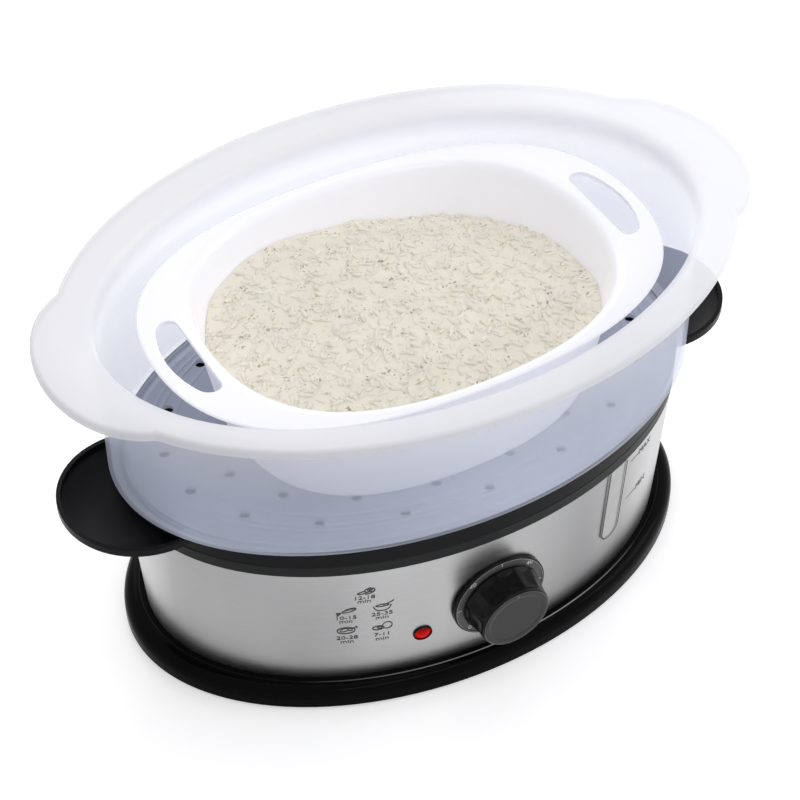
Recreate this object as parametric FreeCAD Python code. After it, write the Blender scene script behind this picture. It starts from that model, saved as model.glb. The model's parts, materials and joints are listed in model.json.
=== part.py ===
import FreeCAD, Part
import math
import os

# Electric food steamer: a base with a water tank and a timer, a drip tray, one oval
# steam basket and a rice bowl. Millimetres, +Z up, +X along the length, -Y the control
# side. The origin is on the table, under the middle of the base.

V = FreeCAD.Vector
RIGHT = V(1, 0, 0)
BACK = V(0, 1, 0)
UP = V(0, 0, 1)

# ---- fits -----------------------------------------------------------------------------
LOOSE_FIT = 0.4        # lift-off part beside the part it stands in
FIXED_FIT = 0.05       # screw, peg or pressed part in its hole
RUN_FIT = 0.06         # shaft turning in a hole
THROUGH = 1.0          # how far a cutting tool runs past a face
ROUND_STEPS = 6        # facets of a rounded shoulder

# ---- feet and foot --------------------------------------------------------------------
PAD_R = 9.0
PAD_H = 2.0
PAD_X = 104.0
PAD_Y = 58.0
FOOT_A = 161.0         # half length of the foot at its lower edge
FOOT_B = 107.5         # half width
FOOT_SKIRT = 5.0       # height of the upright outer edge
FOOT_PLATE = 2.5       # thickness of the bottom
FOOT_WALL = 3.2
FOOT_H = 12.5          # whole height of the foot
BEAD_W = 3.2           # width of the bead round the steel shell
GROOVE_DEPTH = 2.5     # how far the shell stands in the foot
LEDGE_W = 2.4          # ledge inside the shell's lower edge
LEDGE_T = 2.0

# ---- steel shell ----------------------------------------------------------------------
SHELL_A0 = 148.6       # half length at the lower edge
SHELL_B0 = 98.9
SHELL_A1 = 154.6       # half length at the upper edge
SHELL_B1 = 103.7
SHELL_TOP = 96.0
SHELL_T = 0.8

# ---- water tank -----------------------------------------------------------------------
RIM_PROUD = 0.3        # tank rim beyond the shell
RIM_H = 6.5
RIM_EDGE = 0.5         # bevel along the seam between tank and drip tray
TANK_GAP = 1.2         # between tank and shell at the top
TANK_FOOT_GAP = 5.5    # and at the tank floor
TANK_WALL = 2.2
TANK_FLOOR = 40.0      # underside of the tank floor
POST_X = 92.0
POST_Y = 44.0
POST_R = 4.5
BOSS_R = 7.0
BOSS_H = 5.5
SCREW_R = 1.7
SCREW_HEAD_R = 3.4
SCREW_HEAD_H = 2.4
SCREW_SLOT_W = 0.9
SCREW_SLOT_DEPTH = 1.0
SCREW_GRIP = 14.0      # length of screw inside the post
BAY_ROOM = 8.0         # room round timer and lamp in the hollow of the tank's front
BAY_BACK = 10.0        # room behind the timer bell

# ---- heater ---------------------------------------------------------------------------
COIL_R = 38.0          # radius of the heating tube's ring
COIL_TUBE_R = 4.0
COIL_GAP_DEG = 40.0    # open part of the ring, between its two legs
COIL_LIFT = 12.0       # centre of the tube above the tank floor
LEG_DROP = 9.0         # how far the legs stand out below the tank
FLANGE_W = 18.0
FLANGE_REACH = 23.0    # half length
FLANGE_T = 2.0
GASKET_T = 1.5
CLAMP_T = 2.5
BOLT_R = 2.0
BOLT_HEAD_R = 4.0      # across the corners
BOLT_HEAD_H = 3.0
BOLT_END = 1.5         # thread showing below the nut
TAB_T = 0.8
TAB_W = 6.3
TAB_L = 9.0
TAB_HOLE_R = 1.2
CLIP_T = 0.8
CLIP_W = 5.0
SENSOR_R = 8.0
SENSOR_H = 9.0
SENSOR_TAB_X = 4.0
SENSOR_TAB_W = 3.2
SENSOR_TAB_L = 5.0
FUSE_R = 2.5
FUSE_L = 16.0
FUSE_X = 20.0          # beside the thermostat

# ---- steam ring -----------------------------------------------------------------------
RING_R = 50.0
RING_WALL = 2.0
RING_H = 40.0
RING_MOUTH_R = 30.0
RING_SLOTS = 8
RING_SLOT_W = 10.0
RING_SLOT_H = 7.0

# ---- timer, dial and knob -------------------------------------------------------------
KNOB_X = -2.5
KNOB_Z = 52.0          # height of the knob's axis
DIAL_R = 26.3
DIAL_PROUD = 2.0       # dial face above the shell
DIAL_FACE_T = 1.2
DIAL_WALL = 1.6
DIAL_EDGE = 0.8        # bevel round the dial
DIAL_HUB_R = 6.0
KNOB_GAP = 0.5         # knob above the dial face
KNOB_BASE_R = 21.6
KNOB_FRONT_R = 19.1
KNOB_FRONT = 18.5      # front of the knob above the shell
KNOB_CAP = 2.0         # plain disc at the knob's front
KNOB_EDGE = 0.6
KNOB_WALL = 3.5
FLUTES = 12
FLUTE_R = 4.6
FLUTE_DEPTH = 1.3
DISH_R = 14.6          # shallow dish in the knob's face
DISH_DEPTH = 0.8
HUB_R = 6.0
SHAFT_R = 3.0
SHAFT_FLAT = 1.9       # distance of the shaft's flat from its axis
SHAFT_GRIP = 10.0      # length of shaft inside the knob
SHAFT_INSIDE = 14.0    # length of shaft inside the timer
TIMER_SIZE = 48.0
TIMER_DEPTH = 28.0
TIMER_CORNER = 4.0
BELL_R = 11.0
BELL_H = 5.0
BELL_T = 0.8
BELL_ROUND = 2.5
BELL_POST_R = 2.0
TIMER_SCREW_X = 18.0
TIMER_SCREW_R = 1.4
TIMER_SCREW_HEAD_R = 2.6
TIMER_SCREW_HEAD_H = 0.9
TIMER_SCREW_L = 7.0

# ---- lamp -----------------------------------------------------------------------------
LAMP_X = -43.9
LAMP_Z = 40.1
BEZEL_R = 5.1
BEZEL_PROUD = 0.9
BEZEL_EDGE = 0.3
LENS_R = 4.4
LENS_PROUD = 2.0
LENS_NECK = 3.0
LAMP_NECK_R = 4.8
LAMP_FLANGE_T = 1.6
LAMP_DEPTH = 20.0

# ---- water gauge ----------------------------------------------------------------------
GAUGE_X = 73.5
GAUGE_W = 14.0
GAUGE_BOTTOM = 42.5
GAUGE_PROUD = 0.5
GAUGE_WALL = 1.6
PORT_R = 3.0
PORT_LIFT = 3.0        # port above the window's lower end

# ---- cord inlet and wiring ------------------------------------------------------------
GLAND_Z = 30.0
GLAND_R = 5.4
GLAND_BORE_R = 3.4
GLAND_FLANGE_R = 8.0
GLAND_FLANGE_T = 2.0
GLAND_END = 2.0        # thread showing behind the nut
NUT_T = 4.0
BLOCK_L = 32.0
BLOCK_W = 14.0
BLOCK_H = 12.0
BLOCK_Y = 62.0
BLOCK_PITCH = 10.0
WELL_DEPTH = 5.0
WIRE_R = 1.2
WIRE_LAY = 10.0        # height of the wires along the foot
WIRE_SEAT = 0.2        # wire end off the leaning back of the timer
WIRE_TURN = 20.0       # first bend of a wire, in front of the terminal block
WIRE_APART = 12.0      # the timer's wires either side of its bell

# ---- drip tray ------------------------------------------------------------------------
TRAY_H = 10.0          # drip tray's edge above the tank rim
TRAY_WALL = 2.1
TRAY_STEP_T = 2.0      # ledge between edge and pan
PAN_CLEAR = 0.8        # pan inside the tank's mouth
PAN_WALL = 2.0
PAN_DROP = 6.5         # pan's underside below the tank rim
PAN_TAPER = 3.0
CHIMNEY_R = 30.0
CHIMNEY_WALL = 2.0
CHIMNEY_H = 9.0
SCOOP_X = 150.0        # centre of a handle's outline
SCOOP_A = 42.0
SCOOP_B = 42.0
SCOOP_CLEAR = 0.4      # handle below the tray's edge and above the tank rim
SCOOP_TUCK = 8.0       # how much smaller a handle is underneath
SCOOP_HEEL = 2.0       # height of the rounding underneath
SCOOP_LIP = 4.0        # height of the upright edge
SCOOP_WALL = 2.2

# ---- steam basket ---------------------------------------------------------------------
TUB_A0 = 161.0         # half length of the wall's outside at the floor
TUB_B0 = 105.8
TUB_A1 = 162.0         # and at the start of the flare
TUB_B1 = 106.5
TUB_FLARE_Z = 195.0
TUB_HEEL = 2.0         # bevel round the underside
TUB_WALL = 2.0
FLOOR_T = 2.0
GUIDE_H = 4.0          # ring under the floor that drops into the tray
GUIDE_WALL = 1.8
FLARE_R = 7.0          # inner radius of the flare
FLARE_DEG = 80.0
COLLAR_A = 180.0
COLLAR_B = 125.5
COLLAR_TOP = 203.7
COLLAR_T = 1.8
LIP_H = 5.0
LIP_EDGE = 2.5
EAR_X = 150.0          # centre of an ear's outline
EAR_A = 42.5
EAR_B = 58.0
EAR_BLEND = 8.0
HOLE_R = 2.8
HOLE_ROWS = ((0.83, 18), (0.69, 16), (0.55, 12), (0.41, 10), (0.24, 6))   # share, count
RIBS = (0.965, 0.886, 0.858, 0.80)    # shares of the floor oval
RIB_W = 1.2
RIB_H = 0.8

# ---- rice bowl and rice ---------------------------------------------------------------
BOWL_A = 136.5
BOWL_B = 89.5
BOWL_FULLNESS = 0.674  # 0.552 is an ellipse, more is squarer
BOWL_TOP = 187.0
BOWL_WALL = 2.2
BOWL_EDGE = 1.0
MOUTH_A = 107.0
MOUTH_B = 82.5
BOWL_FLOOR_A = 90.0
BOWL_FLOOR_B = 67.0
HEEL_H = 5.0           # height of the bevel between floor and wall
HEEL_W = 4.0
SLOT_OUT = 6.5         # land outside a handle slot
SLOT_W = 17.0
SLOT_HALF = 28.4
SLOT_BEND = 7.5        # how far the slot's ends lie behind its middle
SLOT_ROUND = 5.5
RICE_GAP = 0.3
RICE_EDGE = 26.0       # rice at the wall, below the bowl's top
RICE_CROWN = 8.0       # height of the heap above that
RICE_TURN_DEG = 78.0
RICE_STEPS = 6

# ---- heights and outlines that follow -------------------------------------------------
FOOT_BOTTOM = PAD_H
FOOT_FLOOR = FOOT_BOTTOM + FOOT_PLATE
FOOT_TOP = FOOT_BOTTOM + FOOT_H
SHELL_BOTTOM = FOOT_TOP - GROOVE_DEPTH
POST_BOTTOM = FOOT_FLOOR + BOSS_H
SCREW_SEAT = FOOT_BOTTOM + SCREW_HEAD_H + FOOT_PLATE
RIM_TOP = SHELL_TOP + RIM_H
RIM_A = SHELL_A1 + RIM_PROUD
RIM_B = SHELL_B1 + RIM_PROUD
TANK_A = SHELL_A1 - SHELL_T - TANK_GAP
TANK_B = SHELL_B1 - SHELL_T - TANK_GAP
MOUTH_RIM_A = TANK_A - TANK_WALL
MOUTH_RIM_B = TANK_B - TANK_WALL
TANK_INSIDE = TANK_FLOOR + TANK_WALL
LEG_END = TANK_FLOOR - LEG_DROP
PAN_UNDER = RIM_TOP - PAN_DROP
TRAY_TOP = RIM_TOP + TRAY_H
FLOOR_TOP = TRAY_TOP + FLOOR_T
FLOOR_OVAL_A = TUB_A0 - TUB_WALL
FLOOR_OVAL_B = TUB_B0 - TUB_WALL
TIMER_FRONT = -(SHELL_T + LOOSE_FIT)
TIMER_BACK = TIMER_FRONT - TIMER_DEPTH
KNOB_BASE = DIAL_PROUD + KNOB_GAP


# ---- shapes ---------------------------------------------------------------------------
def ellipse(a, b, z, cx=0.0):
    """Level ellipse with half length a along X and half width b along Y."""
    tips = [V(cx + a, 0, z), V(cx, b, z)]
    if b > a:
        tips.reverse()
    if a == b:
        curve = Part.Circle(V(cx, 0, z), UP, a)
    else:
        curve = Part.Ellipse(tips[0], tips[1], V(cx, 0, z))
    return Part.Wire([curve.toShape()])


def rounded_oval(a, b, z):
    """Level oval with fuller corners than an ellipse, as four equal curves."""
    k = BOWL_FULLNESS
    quarter = [(1, 0), (1, k), (k, 1), (0, 1)]
    edges = []
    for turn in range(4):
        poles = []
        for x, y in quarter:
            for _ in range(turn):
                x, y = -y, x
            poles.append(V(a * x, b * y, z))
        curve = Part.BezierCurve()
        curve.setPoles(poles)
        edges.append(curve.toShape())
    return Part.Wire(edges)


def loft(sections, outline=ellipse):
    """Solid through level outlines, each given as (a, b, z)."""
    return Part.makeLoft([outline(*section) for section in sections], True, True)


def prism(wire, height):
    return Part.Face(wire).extrude(V(0, 0, height))


def cylinder(x, y, z, radius, height, direction=UP):
    return Part.makeCylinder(radius, height, V(x, y, z), direction)


def box(x0, x1, y0, y1, z0, z1):
    return Part.makeBox(x1 - x0, y1 - y0, z1 - z0, V(x0, y0, z0))


def joined(shapes):
    first, *rest = shapes
    return first.fuse(rest).removeSplitter()


def four(x, y):
    return [(sx * x, sy * y) for sx in (-1, 1) for sy in (-1, 1)]


def round_edges(solid, low, high):
    """Closed round edges of a solid whose height lies between low and high."""
    return [e for e in solid.Edges if e.Closed and low <= e.BoundBox.ZMin and e.BoundBox.ZMax <= high]


def export(name, shape):
    shape.exportStep(os.path.join("parts", name + ".step"))
    print(f"{name}: {len(shape.Solids)} solid(s), {shape.Volume / 1000:.2f} cm3")


# ---- the shell's surface --------------------------------------------------------------
SHELL_H = SHELL_TOP - SHELL_BOTTOM
LEAN_A = (SHELL_A1 - SHELL_A0) / SHELL_H
LEAN_B = (SHELL_B1 - SHELL_B0) / SHELL_H


def shell_half(z):
    """Half length and half width of the shell's outside at height z."""
    return SHELL_A0 + LEAN_A * (z - SHELL_BOTTOM), SHELL_B0 + LEAN_B * (z - SHELL_BOTTOM)


def shell_solid(grow):
    """Everything inside the shell's outside, grown by a distance."""
    sections = [(*shell_half(z), z) for z in (SHELL_BOTTOM, SHELL_TOP)]
    return loft([(a + grow, b + grow, z) for a, b, z in sections])


def front_y(x, z):
    """Y of the shell's outside on the control side."""
    a, b = shell_half(z)
    return -b * math.sqrt(1 - (x / a) ** 2)


def on_panel(x, z):
    """Placement on the control side of the shell: local Z points out, local X to the right."""
    a, b = shell_half(z)
    y = front_y(x, z)
    out = V(x / a**2, y / b**2, -LEAN_A * x**2 / a**3 - LEAN_B * y**2 / b**3)
    out.normalize()
    right = UP.cross(out)
    right.normalize()
    top = out.cross(right)
    return FreeCAD.Placement(FreeCAD.Matrix(
        right.x, top.x, out.x, x,
        right.y, top.y, out.y, y,
        right.z, top.z, out.z, z,
        0, 0, 0, 1,
    ))


TANK_FOOT_A, TANK_FOOT_B = [half - SHELL_T - TANK_FOOT_GAP for half in shell_half(TANK_FLOOR)]
KNOB_PLACE = on_panel(KNOB_X, KNOB_Z)
LAMP_PLACE = on_panel(LAMP_X, LAMP_Z)


def placed(shape, placement):
    moved = shape.copy()
    moved.Placement = placement.multiply(moved.Placement)
    return moved


# ---- feet, foot and screws ------------------------------------------------------------
def rubber_feet():
    return Part.makeCompound([cylinder(x, y, 0, PAD_R, PAD_H) for x, y in four(PAD_X, PAD_Y)])


def foot_outside():
    """Upright skirt with a rounded shoulder that rises to the bead."""
    shell_a, shell_b = shell_half(FOOT_TOP)
    bead_a = shell_a + BEAD_W
    bead_b = shell_b + BEAD_W
    skirt_top = FOOT_BOTTOM + FOOT_SKIRT
    shoulder = []
    for i in range(ROUND_STEPS + 1):
        turn = math.pi / 2 * i / ROUND_STEPS
        a = bead_a + (FOOT_A - bead_a) * math.cos(turn)
        b = bead_b + (FOOT_B - bead_b) * math.cos(turn)
        shoulder.append((a, b, skirt_top + (FOOT_TOP - skirt_top) * math.sin(turn)))
    skirt = prism(ellipse(FOOT_A, FOOT_B, FOOT_BOTTOM), FOOT_SKIRT)
    return joined([skirt, loft(shoulder)])


def base_foot():
    low_a, low_b = shell_half(SHELL_BOTTOM)
    ledge = SHELL_T + LEDGE_W
    room_h = SHELL_BOTTOM - LEDGE_T - FOOT_FLOOR
    room = prism(ellipse(FOOT_A - FOOT_WALL, FOOT_B - FOOT_WALL, FOOT_FLOOR), room_h)
    mouth = prism(ellipse(low_a - ledge, low_b - ledge, FOOT_FLOOR), FOOT_TOP)
    top_a, top_b = shell_half(FOOT_TOP)
    groove = prism(ellipse(top_a + FIXED_FIT, top_b + FIXED_FIT, SHELL_BOTTOM), FOOT_TOP)
    foot = foot_outside().cut([room, mouth, groove])
    bosses = [cylinder(x, y, FOOT_BOTTOM, BOSS_R, POST_BOTTOM - FOOT_BOTTOM) for x, y in four(POST_X, POST_Y)]
    foot = joined([foot] + bosses)
    holes = []
    for x, y in four(POST_X, POST_Y):
        holes.append(cylinder(x, y, FOOT_BOTTOM, SCREW_HEAD_R + LOOSE_FIT, SCREW_SEAT - FOOT_BOTTOM))
        holes.append(cylinder(x, y, FOOT_BOTTOM, SCREW_R + FIXED_FIT, FOOT_TOP))
    return foot.cut(holes)


def base_screws():
    bottom = SCREW_SEAT - SCREW_HEAD_H
    half = SCREW_SLOT_W / 2
    screws = []
    for x, y in four(POST_X, POST_Y):
        head = cylinder(x, y, bottom, SCREW_HEAD_R, SCREW_HEAD_H)
        slot = box(
            x - SCREW_HEAD_R, x + SCREW_HEAD_R, y - half, y + half, bottom, bottom + SCREW_SLOT_DEPTH
        )
        shank = cylinder(x, y, SCREW_SEAT, SCREW_R, POST_BOTTOM - SCREW_SEAT + SCREW_GRIP)
        screws.append(joined([head.cut(slot), shank]))
    return Part.makeCompound(screws)


# ---- steel shell ----------------------------------------------------------------------
def gauge_bar(side):
    """U-shaped bar along Y in the gauge's outline, set in by a wall."""
    half = GAUGE_W / 2 - side
    middle_z = GAUGE_BOTTOM + GAUGE_W / 2
    start = -RIM_B - THROUGH
    round_end = cylinder(GAUGE_X, start, middle_z, half, -start, BACK)
    straight = box(GAUGE_X - half, GAUGE_X + half, start, 0, middle_z, SHELL_TOP - max(side, 0.0))
    return joined([round_end, straight])


def steel_shell():
    shell = shell_solid(0.0).cut(shell_solid(-SHELL_T))
    reach = SHELL_B1 / 2
    tools = [
        gauge_bar(-FIXED_FIT),
        placed(cylinder(0, 0, -reach, SHAFT_R + LOOSE_FIT, 2 * reach), KNOB_PLACE),
        placed(cylinder(0, 0, -reach, LAMP_NECK_R + FIXED_FIT, 2 * reach), LAMP_PLACE),
        cylinder(0, 0, GLAND_Z, GLAND_R + FIXED_FIT, shell_half(GLAND_Z)[1] + GLAND_R, BACK),
    ]
    for x in (-TIMER_SCREW_X, TIMER_SCREW_X):
        tools.append(placed(cylinder(x, 0, -reach, TIMER_SCREW_R + FIXED_FIT, 2 * reach), KNOB_PLACE))
    return shell.cut(tools)


# ---- water tank -----------------------------------------------------------------------
BAY_LEFT = LAMP_X - BEZEL_R - BAY_ROOM
BAY_RIGHT = KNOB_X + TIMER_SIZE / 2 + BAY_ROOM
BAY_Y = front_y(KNOB_X, KNOB_Z) + TIMER_DEPTH + BELL_H + BAY_BACK
BAY_TOP = KNOB_Z + TIMER_SIZE / 2 + BAY_ROOM


def bay(wall):
    """Hollow of the tank's front for the timer and the lamp, grown by a wall."""
    return box(BAY_LEFT - wall, BAY_RIGHT + wall, -RIM_B, BAY_Y + wall, 0, BAY_TOP + wall)


def tank_outside():
    body = loft([(TANK_FOOT_A, TANK_FOOT_B, TANK_FLOOR), (TANK_A, TANK_B, SHELL_TOP)])
    return body.cut(bay(0.0))


def leg_places():
    half_gap = math.radians(COIL_GAP_DEG / 2)
    x = COIL_R * math.cos(half_gap)
    y = COIL_R * math.sin(half_gap)
    return [(x, -y), (x, y)]


def water_reservoir():
    rim = loft([
        (RIM_A, RIM_B, SHELL_TOP),
        (RIM_A, RIM_B, RIM_TOP - RIM_EDGE),
        (RIM_A - RIM_EDGE, RIM_B - RIM_EDGE, RIM_TOP),
    ])
    posts = [
        cylinder(x, y, POST_BOTTOM, POST_R, TANK_INSIDE - POST_BOTTOM) for x, y in four(POST_X, POST_Y)
    ]
    body = joined([rim, tank_outside()] + posts)
    floor_oval = (TANK_FOOT_A - TANK_WALL, TANK_FOOT_B - TANK_WALL, TANK_INSIDE)
    water = joined([
        loft([floor_oval, (MOUTH_RIM_A, MOUTH_RIM_B, SHELL_TOP)]),
        prism(ellipse(MOUTH_RIM_A, MOUTH_RIM_B, SHELL_TOP), RIM_H + THROUGH),
    ])
    tools = [water.cut(bay(TANK_WALL))]
    for x, y in leg_places():
        tools.append(cylinder(x, y, 0, COIL_TUBE_R + LOOSE_FIT, TANK_INSIDE + THROUGH))
    tools.append(cylinder(leg_places()[0][0], 0, 0, BOLT_R + FIXED_FIT, TANK_INSIDE + THROUGH))
    for x, y in four(POST_X, POST_Y):
        tools.append(cylinder(x, y, POST_BOTTOM, SCREW_R + FIXED_FIT, SCREW_GRIP + THROUGH))
    port_z = GAUGE_BOTTOM + GAUGE_WALL + PORT_LIFT + PORT_R
    tools.append(cylinder(GAUGE_X, -RIM_B, port_z, PORT_R, RIM_B / 2, BACK))
    return body.cut(tools)


# ---- heater ---------------------------------------------------------------------------
def heating_element():
    centre_z = TANK_INSIDE + COIL_LIFT
    ring = Part.makeTorus(COIL_R, COIL_TUBE_R, V(0, 0, centre_z), UP, 0, 360, 360 - COIL_GAP_DEG)
    ring.rotate(V(0, 0, 0), UP, COIL_GAP_DEG / 2)
    pieces = [ring]
    for x, y in leg_places():
        pieces.append(cylinder(x, y, LEG_END, COIL_TUBE_R, centre_z - LEG_END))
        pieces.append(Part.makeSphere(COIL_TUBE_R, V(x, y, centre_z)))
    return joined(pieces)


def leg_plate(z, thickness):
    """Round-ended plate that both heater legs and the bolt between them pass through."""
    x = leg_places()[0][0]
    half = FLANGE_REACH - FLANGE_W / 2
    plate = joined([
        box(x - FLANGE_W / 2, x + FLANGE_W / 2, -half, half, z, z + thickness),
        cylinder(x, -half, z, FLANGE_W / 2, thickness),
        cylinder(x, half, z, FLANGE_W / 2, thickness),
    ])
    holes = [cylinder(lx, ly, z, COIL_TUBE_R + FIXED_FIT, thickness) for lx, ly in leg_places()]
    holes.append(cylinder(x, 0, z, BOLT_R + FIXED_FIT, thickness))
    return plate.cut(holes)


def heater_gasket():
    return leg_plate(TANK_INSIDE, GASKET_T)


def heater_flange():
    return leg_plate(TANK_INSIDE + GASKET_T, FLANGE_T)


def heater_clamp():
    return leg_plate(TANK_FLOOR - CLAMP_T, CLAMP_T)


def hexagon_bar(x, z, height):
    corners = [math.radians(60 * i) for i in range(7)]
    points = [V(x + BOLT_HEAD_R * math.cos(t), BOLT_HEAD_R * math.sin(t), z) for t in corners]
    return prism(Part.makePolygon(points), height)


def heater_bolt():
    x = leg_places()[0][0]
    top = TANK_INSIDE + GASKET_T + FLANGE_T
    bottom = TANK_FLOOR - CLAMP_T - BOLT_HEAD_H - BOLT_END
    return joined([hexagon_bar(x, top, BOLT_HEAD_H), cylinder(x, 0, bottom, BOLT_R, top - bottom)])


def heater_nut():
    x = leg_places()[0][0]
    z = TANK_FLOOR - CLAMP_T - BOLT_HEAD_H
    return hexagon_bar(x, z, BOLT_HEAD_H).cut(cylinder(x, 0, z, BOLT_R + FIXED_FIT, BOLT_HEAD_H))


def heater_terminals():
    tabs = []
    for x, y in leg_places():
        tab = box(x - TAB_W / 2, x + TAB_W / 2, y - TAB_T / 2, y + TAB_T / 2, LEG_END - TAB_L, LEG_END)
        hole = cylinder(x, y - TAB_T, LEG_END - TAB_L / 2, TAB_HOLE_R, 2 * TAB_T, BACK)
        tabs.append(tab.cut(hole))
    return Part.makeCompound(tabs)


def thermostat():
    bottom = TANK_FLOOR - SENSOR_H
    can = cylinder(0, 0, bottom, SENSOR_R, SENSOR_H)
    half = SENSOR_TAB_W / 2
    tabs = [
        box(x - half, x + half, -TAB_T / 2, TAB_T / 2, bottom - SENSOR_TAB_L, bottom)
        for x in (-SENSOR_TAB_X, SENSOR_TAB_X)
    ]
    return joined([can] + tabs)


def thermal_fuse():
    return cylinder(-FUSE_X, -FUSE_L / 2, TANK_FLOOR - FUSE_R, FUSE_R, FUSE_L, BACK)


def saddle(x, half, depth):
    """Spring clip under the tank floor round something half as wide and as deep as given."""
    inner = half + LOOSE_FIT
    z = TANK_FLOOR - depth - LOOSE_FIT
    outside = box(x - inner - CLIP_T, x + inner + CLIP_T, -CLIP_W / 2, CLIP_W / 2, z - CLIP_T, TANK_FLOOR)
    return outside.cut(box(x - inner, x + inner, -CLIP_W / 2, CLIP_W / 2, z, TANK_FLOOR))


def fuse_clip():
    return saddle(-FUSE_X, FUSE_R, 2 * FUSE_R)


def thermostat_clip():
    clip = saddle(0.0, SENSOR_R, SENSOR_H)
    half = SENSOR_TAB_W / 2 + LOOSE_FIT
    bottom = TANK_FLOOR - SENSOR_H - SENSOR_TAB_L
    return clip.cut([
        box(x - half, x + half, -TAB_T, TAB_T, bottom, TANK_FLOOR) for x in (-SENSOR_TAB_X, SENSOR_TAB_X)
    ])


# ---- steam ring -----------------------------------------------------------------------
def steam_ring():
    z = TANK_INSIDE
    wall = cylinder(0, 0, z, RING_R, RING_H)
    tools = [
        cylinder(0, 0, z - THROUGH, RING_R - RING_WALL, RING_H - RING_WALL + THROUGH),
        cylinder(0, 0, z, RING_MOUTH_R, RING_H + THROUGH),
    ]
    for i in range(RING_SLOTS):
        slot = box(0, RING_R + THROUGH, -RING_SLOT_W / 2, RING_SLOT_W / 2, z - THROUGH, z + RING_SLOT_H)
        slot.rotate(V(0, 0, 0), UP, 360.0 * (i + 0.5) / RING_SLOTS)
        tools.append(slot)
    return wall.cut(tools)


# ---- timer, dial and knob -------------------------------------------------------------
def dial_plate():
    disc = cylinder(0, 0, -DIAL_R, DIAL_R, DIAL_R + DIAL_PROUD)
    disc = disc.makeChamfer(DIAL_EDGE, round_edges(disc, 0, DIAL_R))
    hollow = cylinder(0, 0, -DIAL_R, DIAL_R - DIAL_WALL, DIAL_R + DIAL_PROUD - DIAL_FACE_T)
    hub = cylinder(0, 0, -DIAL_R, DIAL_HUB_R, DIAL_R + DIAL_PROUD - DIAL_FACE_T)
    disc = joined([disc.cut(hollow), hub])
    disc = disc.cut(cylinder(0, 0, -DIAL_R, SHAFT_R + LOOSE_FIT, 2 * DIAL_R))
    return placed(disc, KNOB_PLACE).cut(shell_solid(0.0))


def timer_body():
    half = TIMER_SIZE / 2
    case = box(-half, half, -half, half, TIMER_BACK, TIMER_FRONT)
    upright = [e for e in case.Edges if abs(e.Vertexes[0].Z - e.Vertexes[-1].Z) > TIMER_DEPTH / 2]
    case = case.makeFillet(TIMER_CORNER, upright)
    tools = [cylinder(0, 0, TIMER_FRONT - SHAFT_INSIDE, SHAFT_R + RUN_FIT, SHAFT_INSIDE)]
    for x in (-TIMER_SCREW_X, TIMER_SCREW_X):
        tools.append(cylinder(x, 0, TIMER_FRONT - TIMER_SCREW_L, TIMER_SCREW_R + FIXED_FIT, TIMER_SCREW_L))
    return placed(case.cut(tools), KNOB_PLACE).common(shell_solid(-SHELL_T))


def timer_bell():
    back = TIMER_BACK - BELL_H
    bell = cylinder(0, 0, back, BELL_R, BELL_H)
    bell = bell.makeFillet(BELL_ROUND, round_edges(bell, back - THROUGH, back + BELL_H / 2))
    hollow = cylinder(0, 0, back + BELL_T, BELL_R - BELL_ROUND, BELL_H)
    post = cylinder(0, 0, back + BELL_T / 2, BELL_POST_R, BELL_H - BELL_T / 2)
    return placed(joined([bell.cut(hollow), post]), KNOB_PLACE)


def timer_screws():
    sag = front_y(TIMER_SCREW_X, KNOB_Z) - front_y(0, KNOB_Z)
    end = TIMER_FRONT - TIMER_SCREW_L
    screws = []
    for x in (-TIMER_SCREW_X, TIMER_SCREW_X):
        head = placed(cylinder(x, 0, -2 * sag, TIMER_SCREW_HEAD_R, sag + TIMER_SCREW_HEAD_H), KNOB_PLACE)
        shank = placed(cylinder(x, 0, end, TIMER_SCREW_R, -sag - end), KNOB_PLACE)
        screws.append(joined([head.cut(shell_solid(0.0)), shank]))
    return Part.makeCompound(screws)


def timer_knob():
    neck = KNOB_FRONT - KNOB_CAP
    fall = (KNOB_BASE_R - KNOB_FRONT_R) / (KNOB_FRONT - KNOB_BASE)
    neck_r = KNOB_FRONT_R + fall * KNOB_CAP
    skirt = Part.makeCone(KNOB_BASE_R, neck_r, neck - KNOB_BASE, V(0, 0, KNOB_BASE), UP)
    cap = Part.makeCone(neck_r, KNOB_FRONT_R, KNOB_CAP, V(0, 0, neck), UP)
    cap = cap.makeFillet(KNOB_EDGE, round_edges(cap, neck + KNOB_CAP / 2, KNOB_FRONT + THROUGH))
    grip = neck - KNOB_BASE
    tools = []
    for i in range(FLUTES):
        reach = KNOB_BASE_R + FLUTE_R - FLUTE_DEPTH + fall * THROUGH
        flute = cylinder(reach, 0, KNOB_BASE - THROUGH, FLUTE_R, grip + THROUGH, V(-fall, 0, 1))
        flute.rotate(V(0, 0, 0), UP, 360.0 * (i + 0.5) / FLUTES)
        tools.append(flute)
    tools.append(Part.makeCone(
        KNOB_BASE_R - KNOB_WALL + fall * THROUGH, neck_r - KNOB_WALL + fall * KNOB_WALL,
        grip - KNOB_WALL + THROUGH, V(0, 0, KNOB_BASE - THROUGH), UP,
    ))
    dish_ball = (DISH_R**2 + DISH_DEPTH**2) / (2 * DISH_DEPTH)
    dish = Part.makeSphere(dish_ball, V(0, 0, KNOB_FRONT + dish_ball - DISH_DEPTH))
    hub = cylinder(0, 0, KNOB_BASE, HUB_R, grip)
    bore = cylinder(0, 0, KNOB_BASE - THROUGH, SHAFT_R + FIXED_FIT, SHAFT_GRIP + THROUGH + FIXED_FIT)
    return placed(joined([skirt.cut(tools), cap.cut(dish), hub]).cut(bore), KNOB_PLACE)


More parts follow.
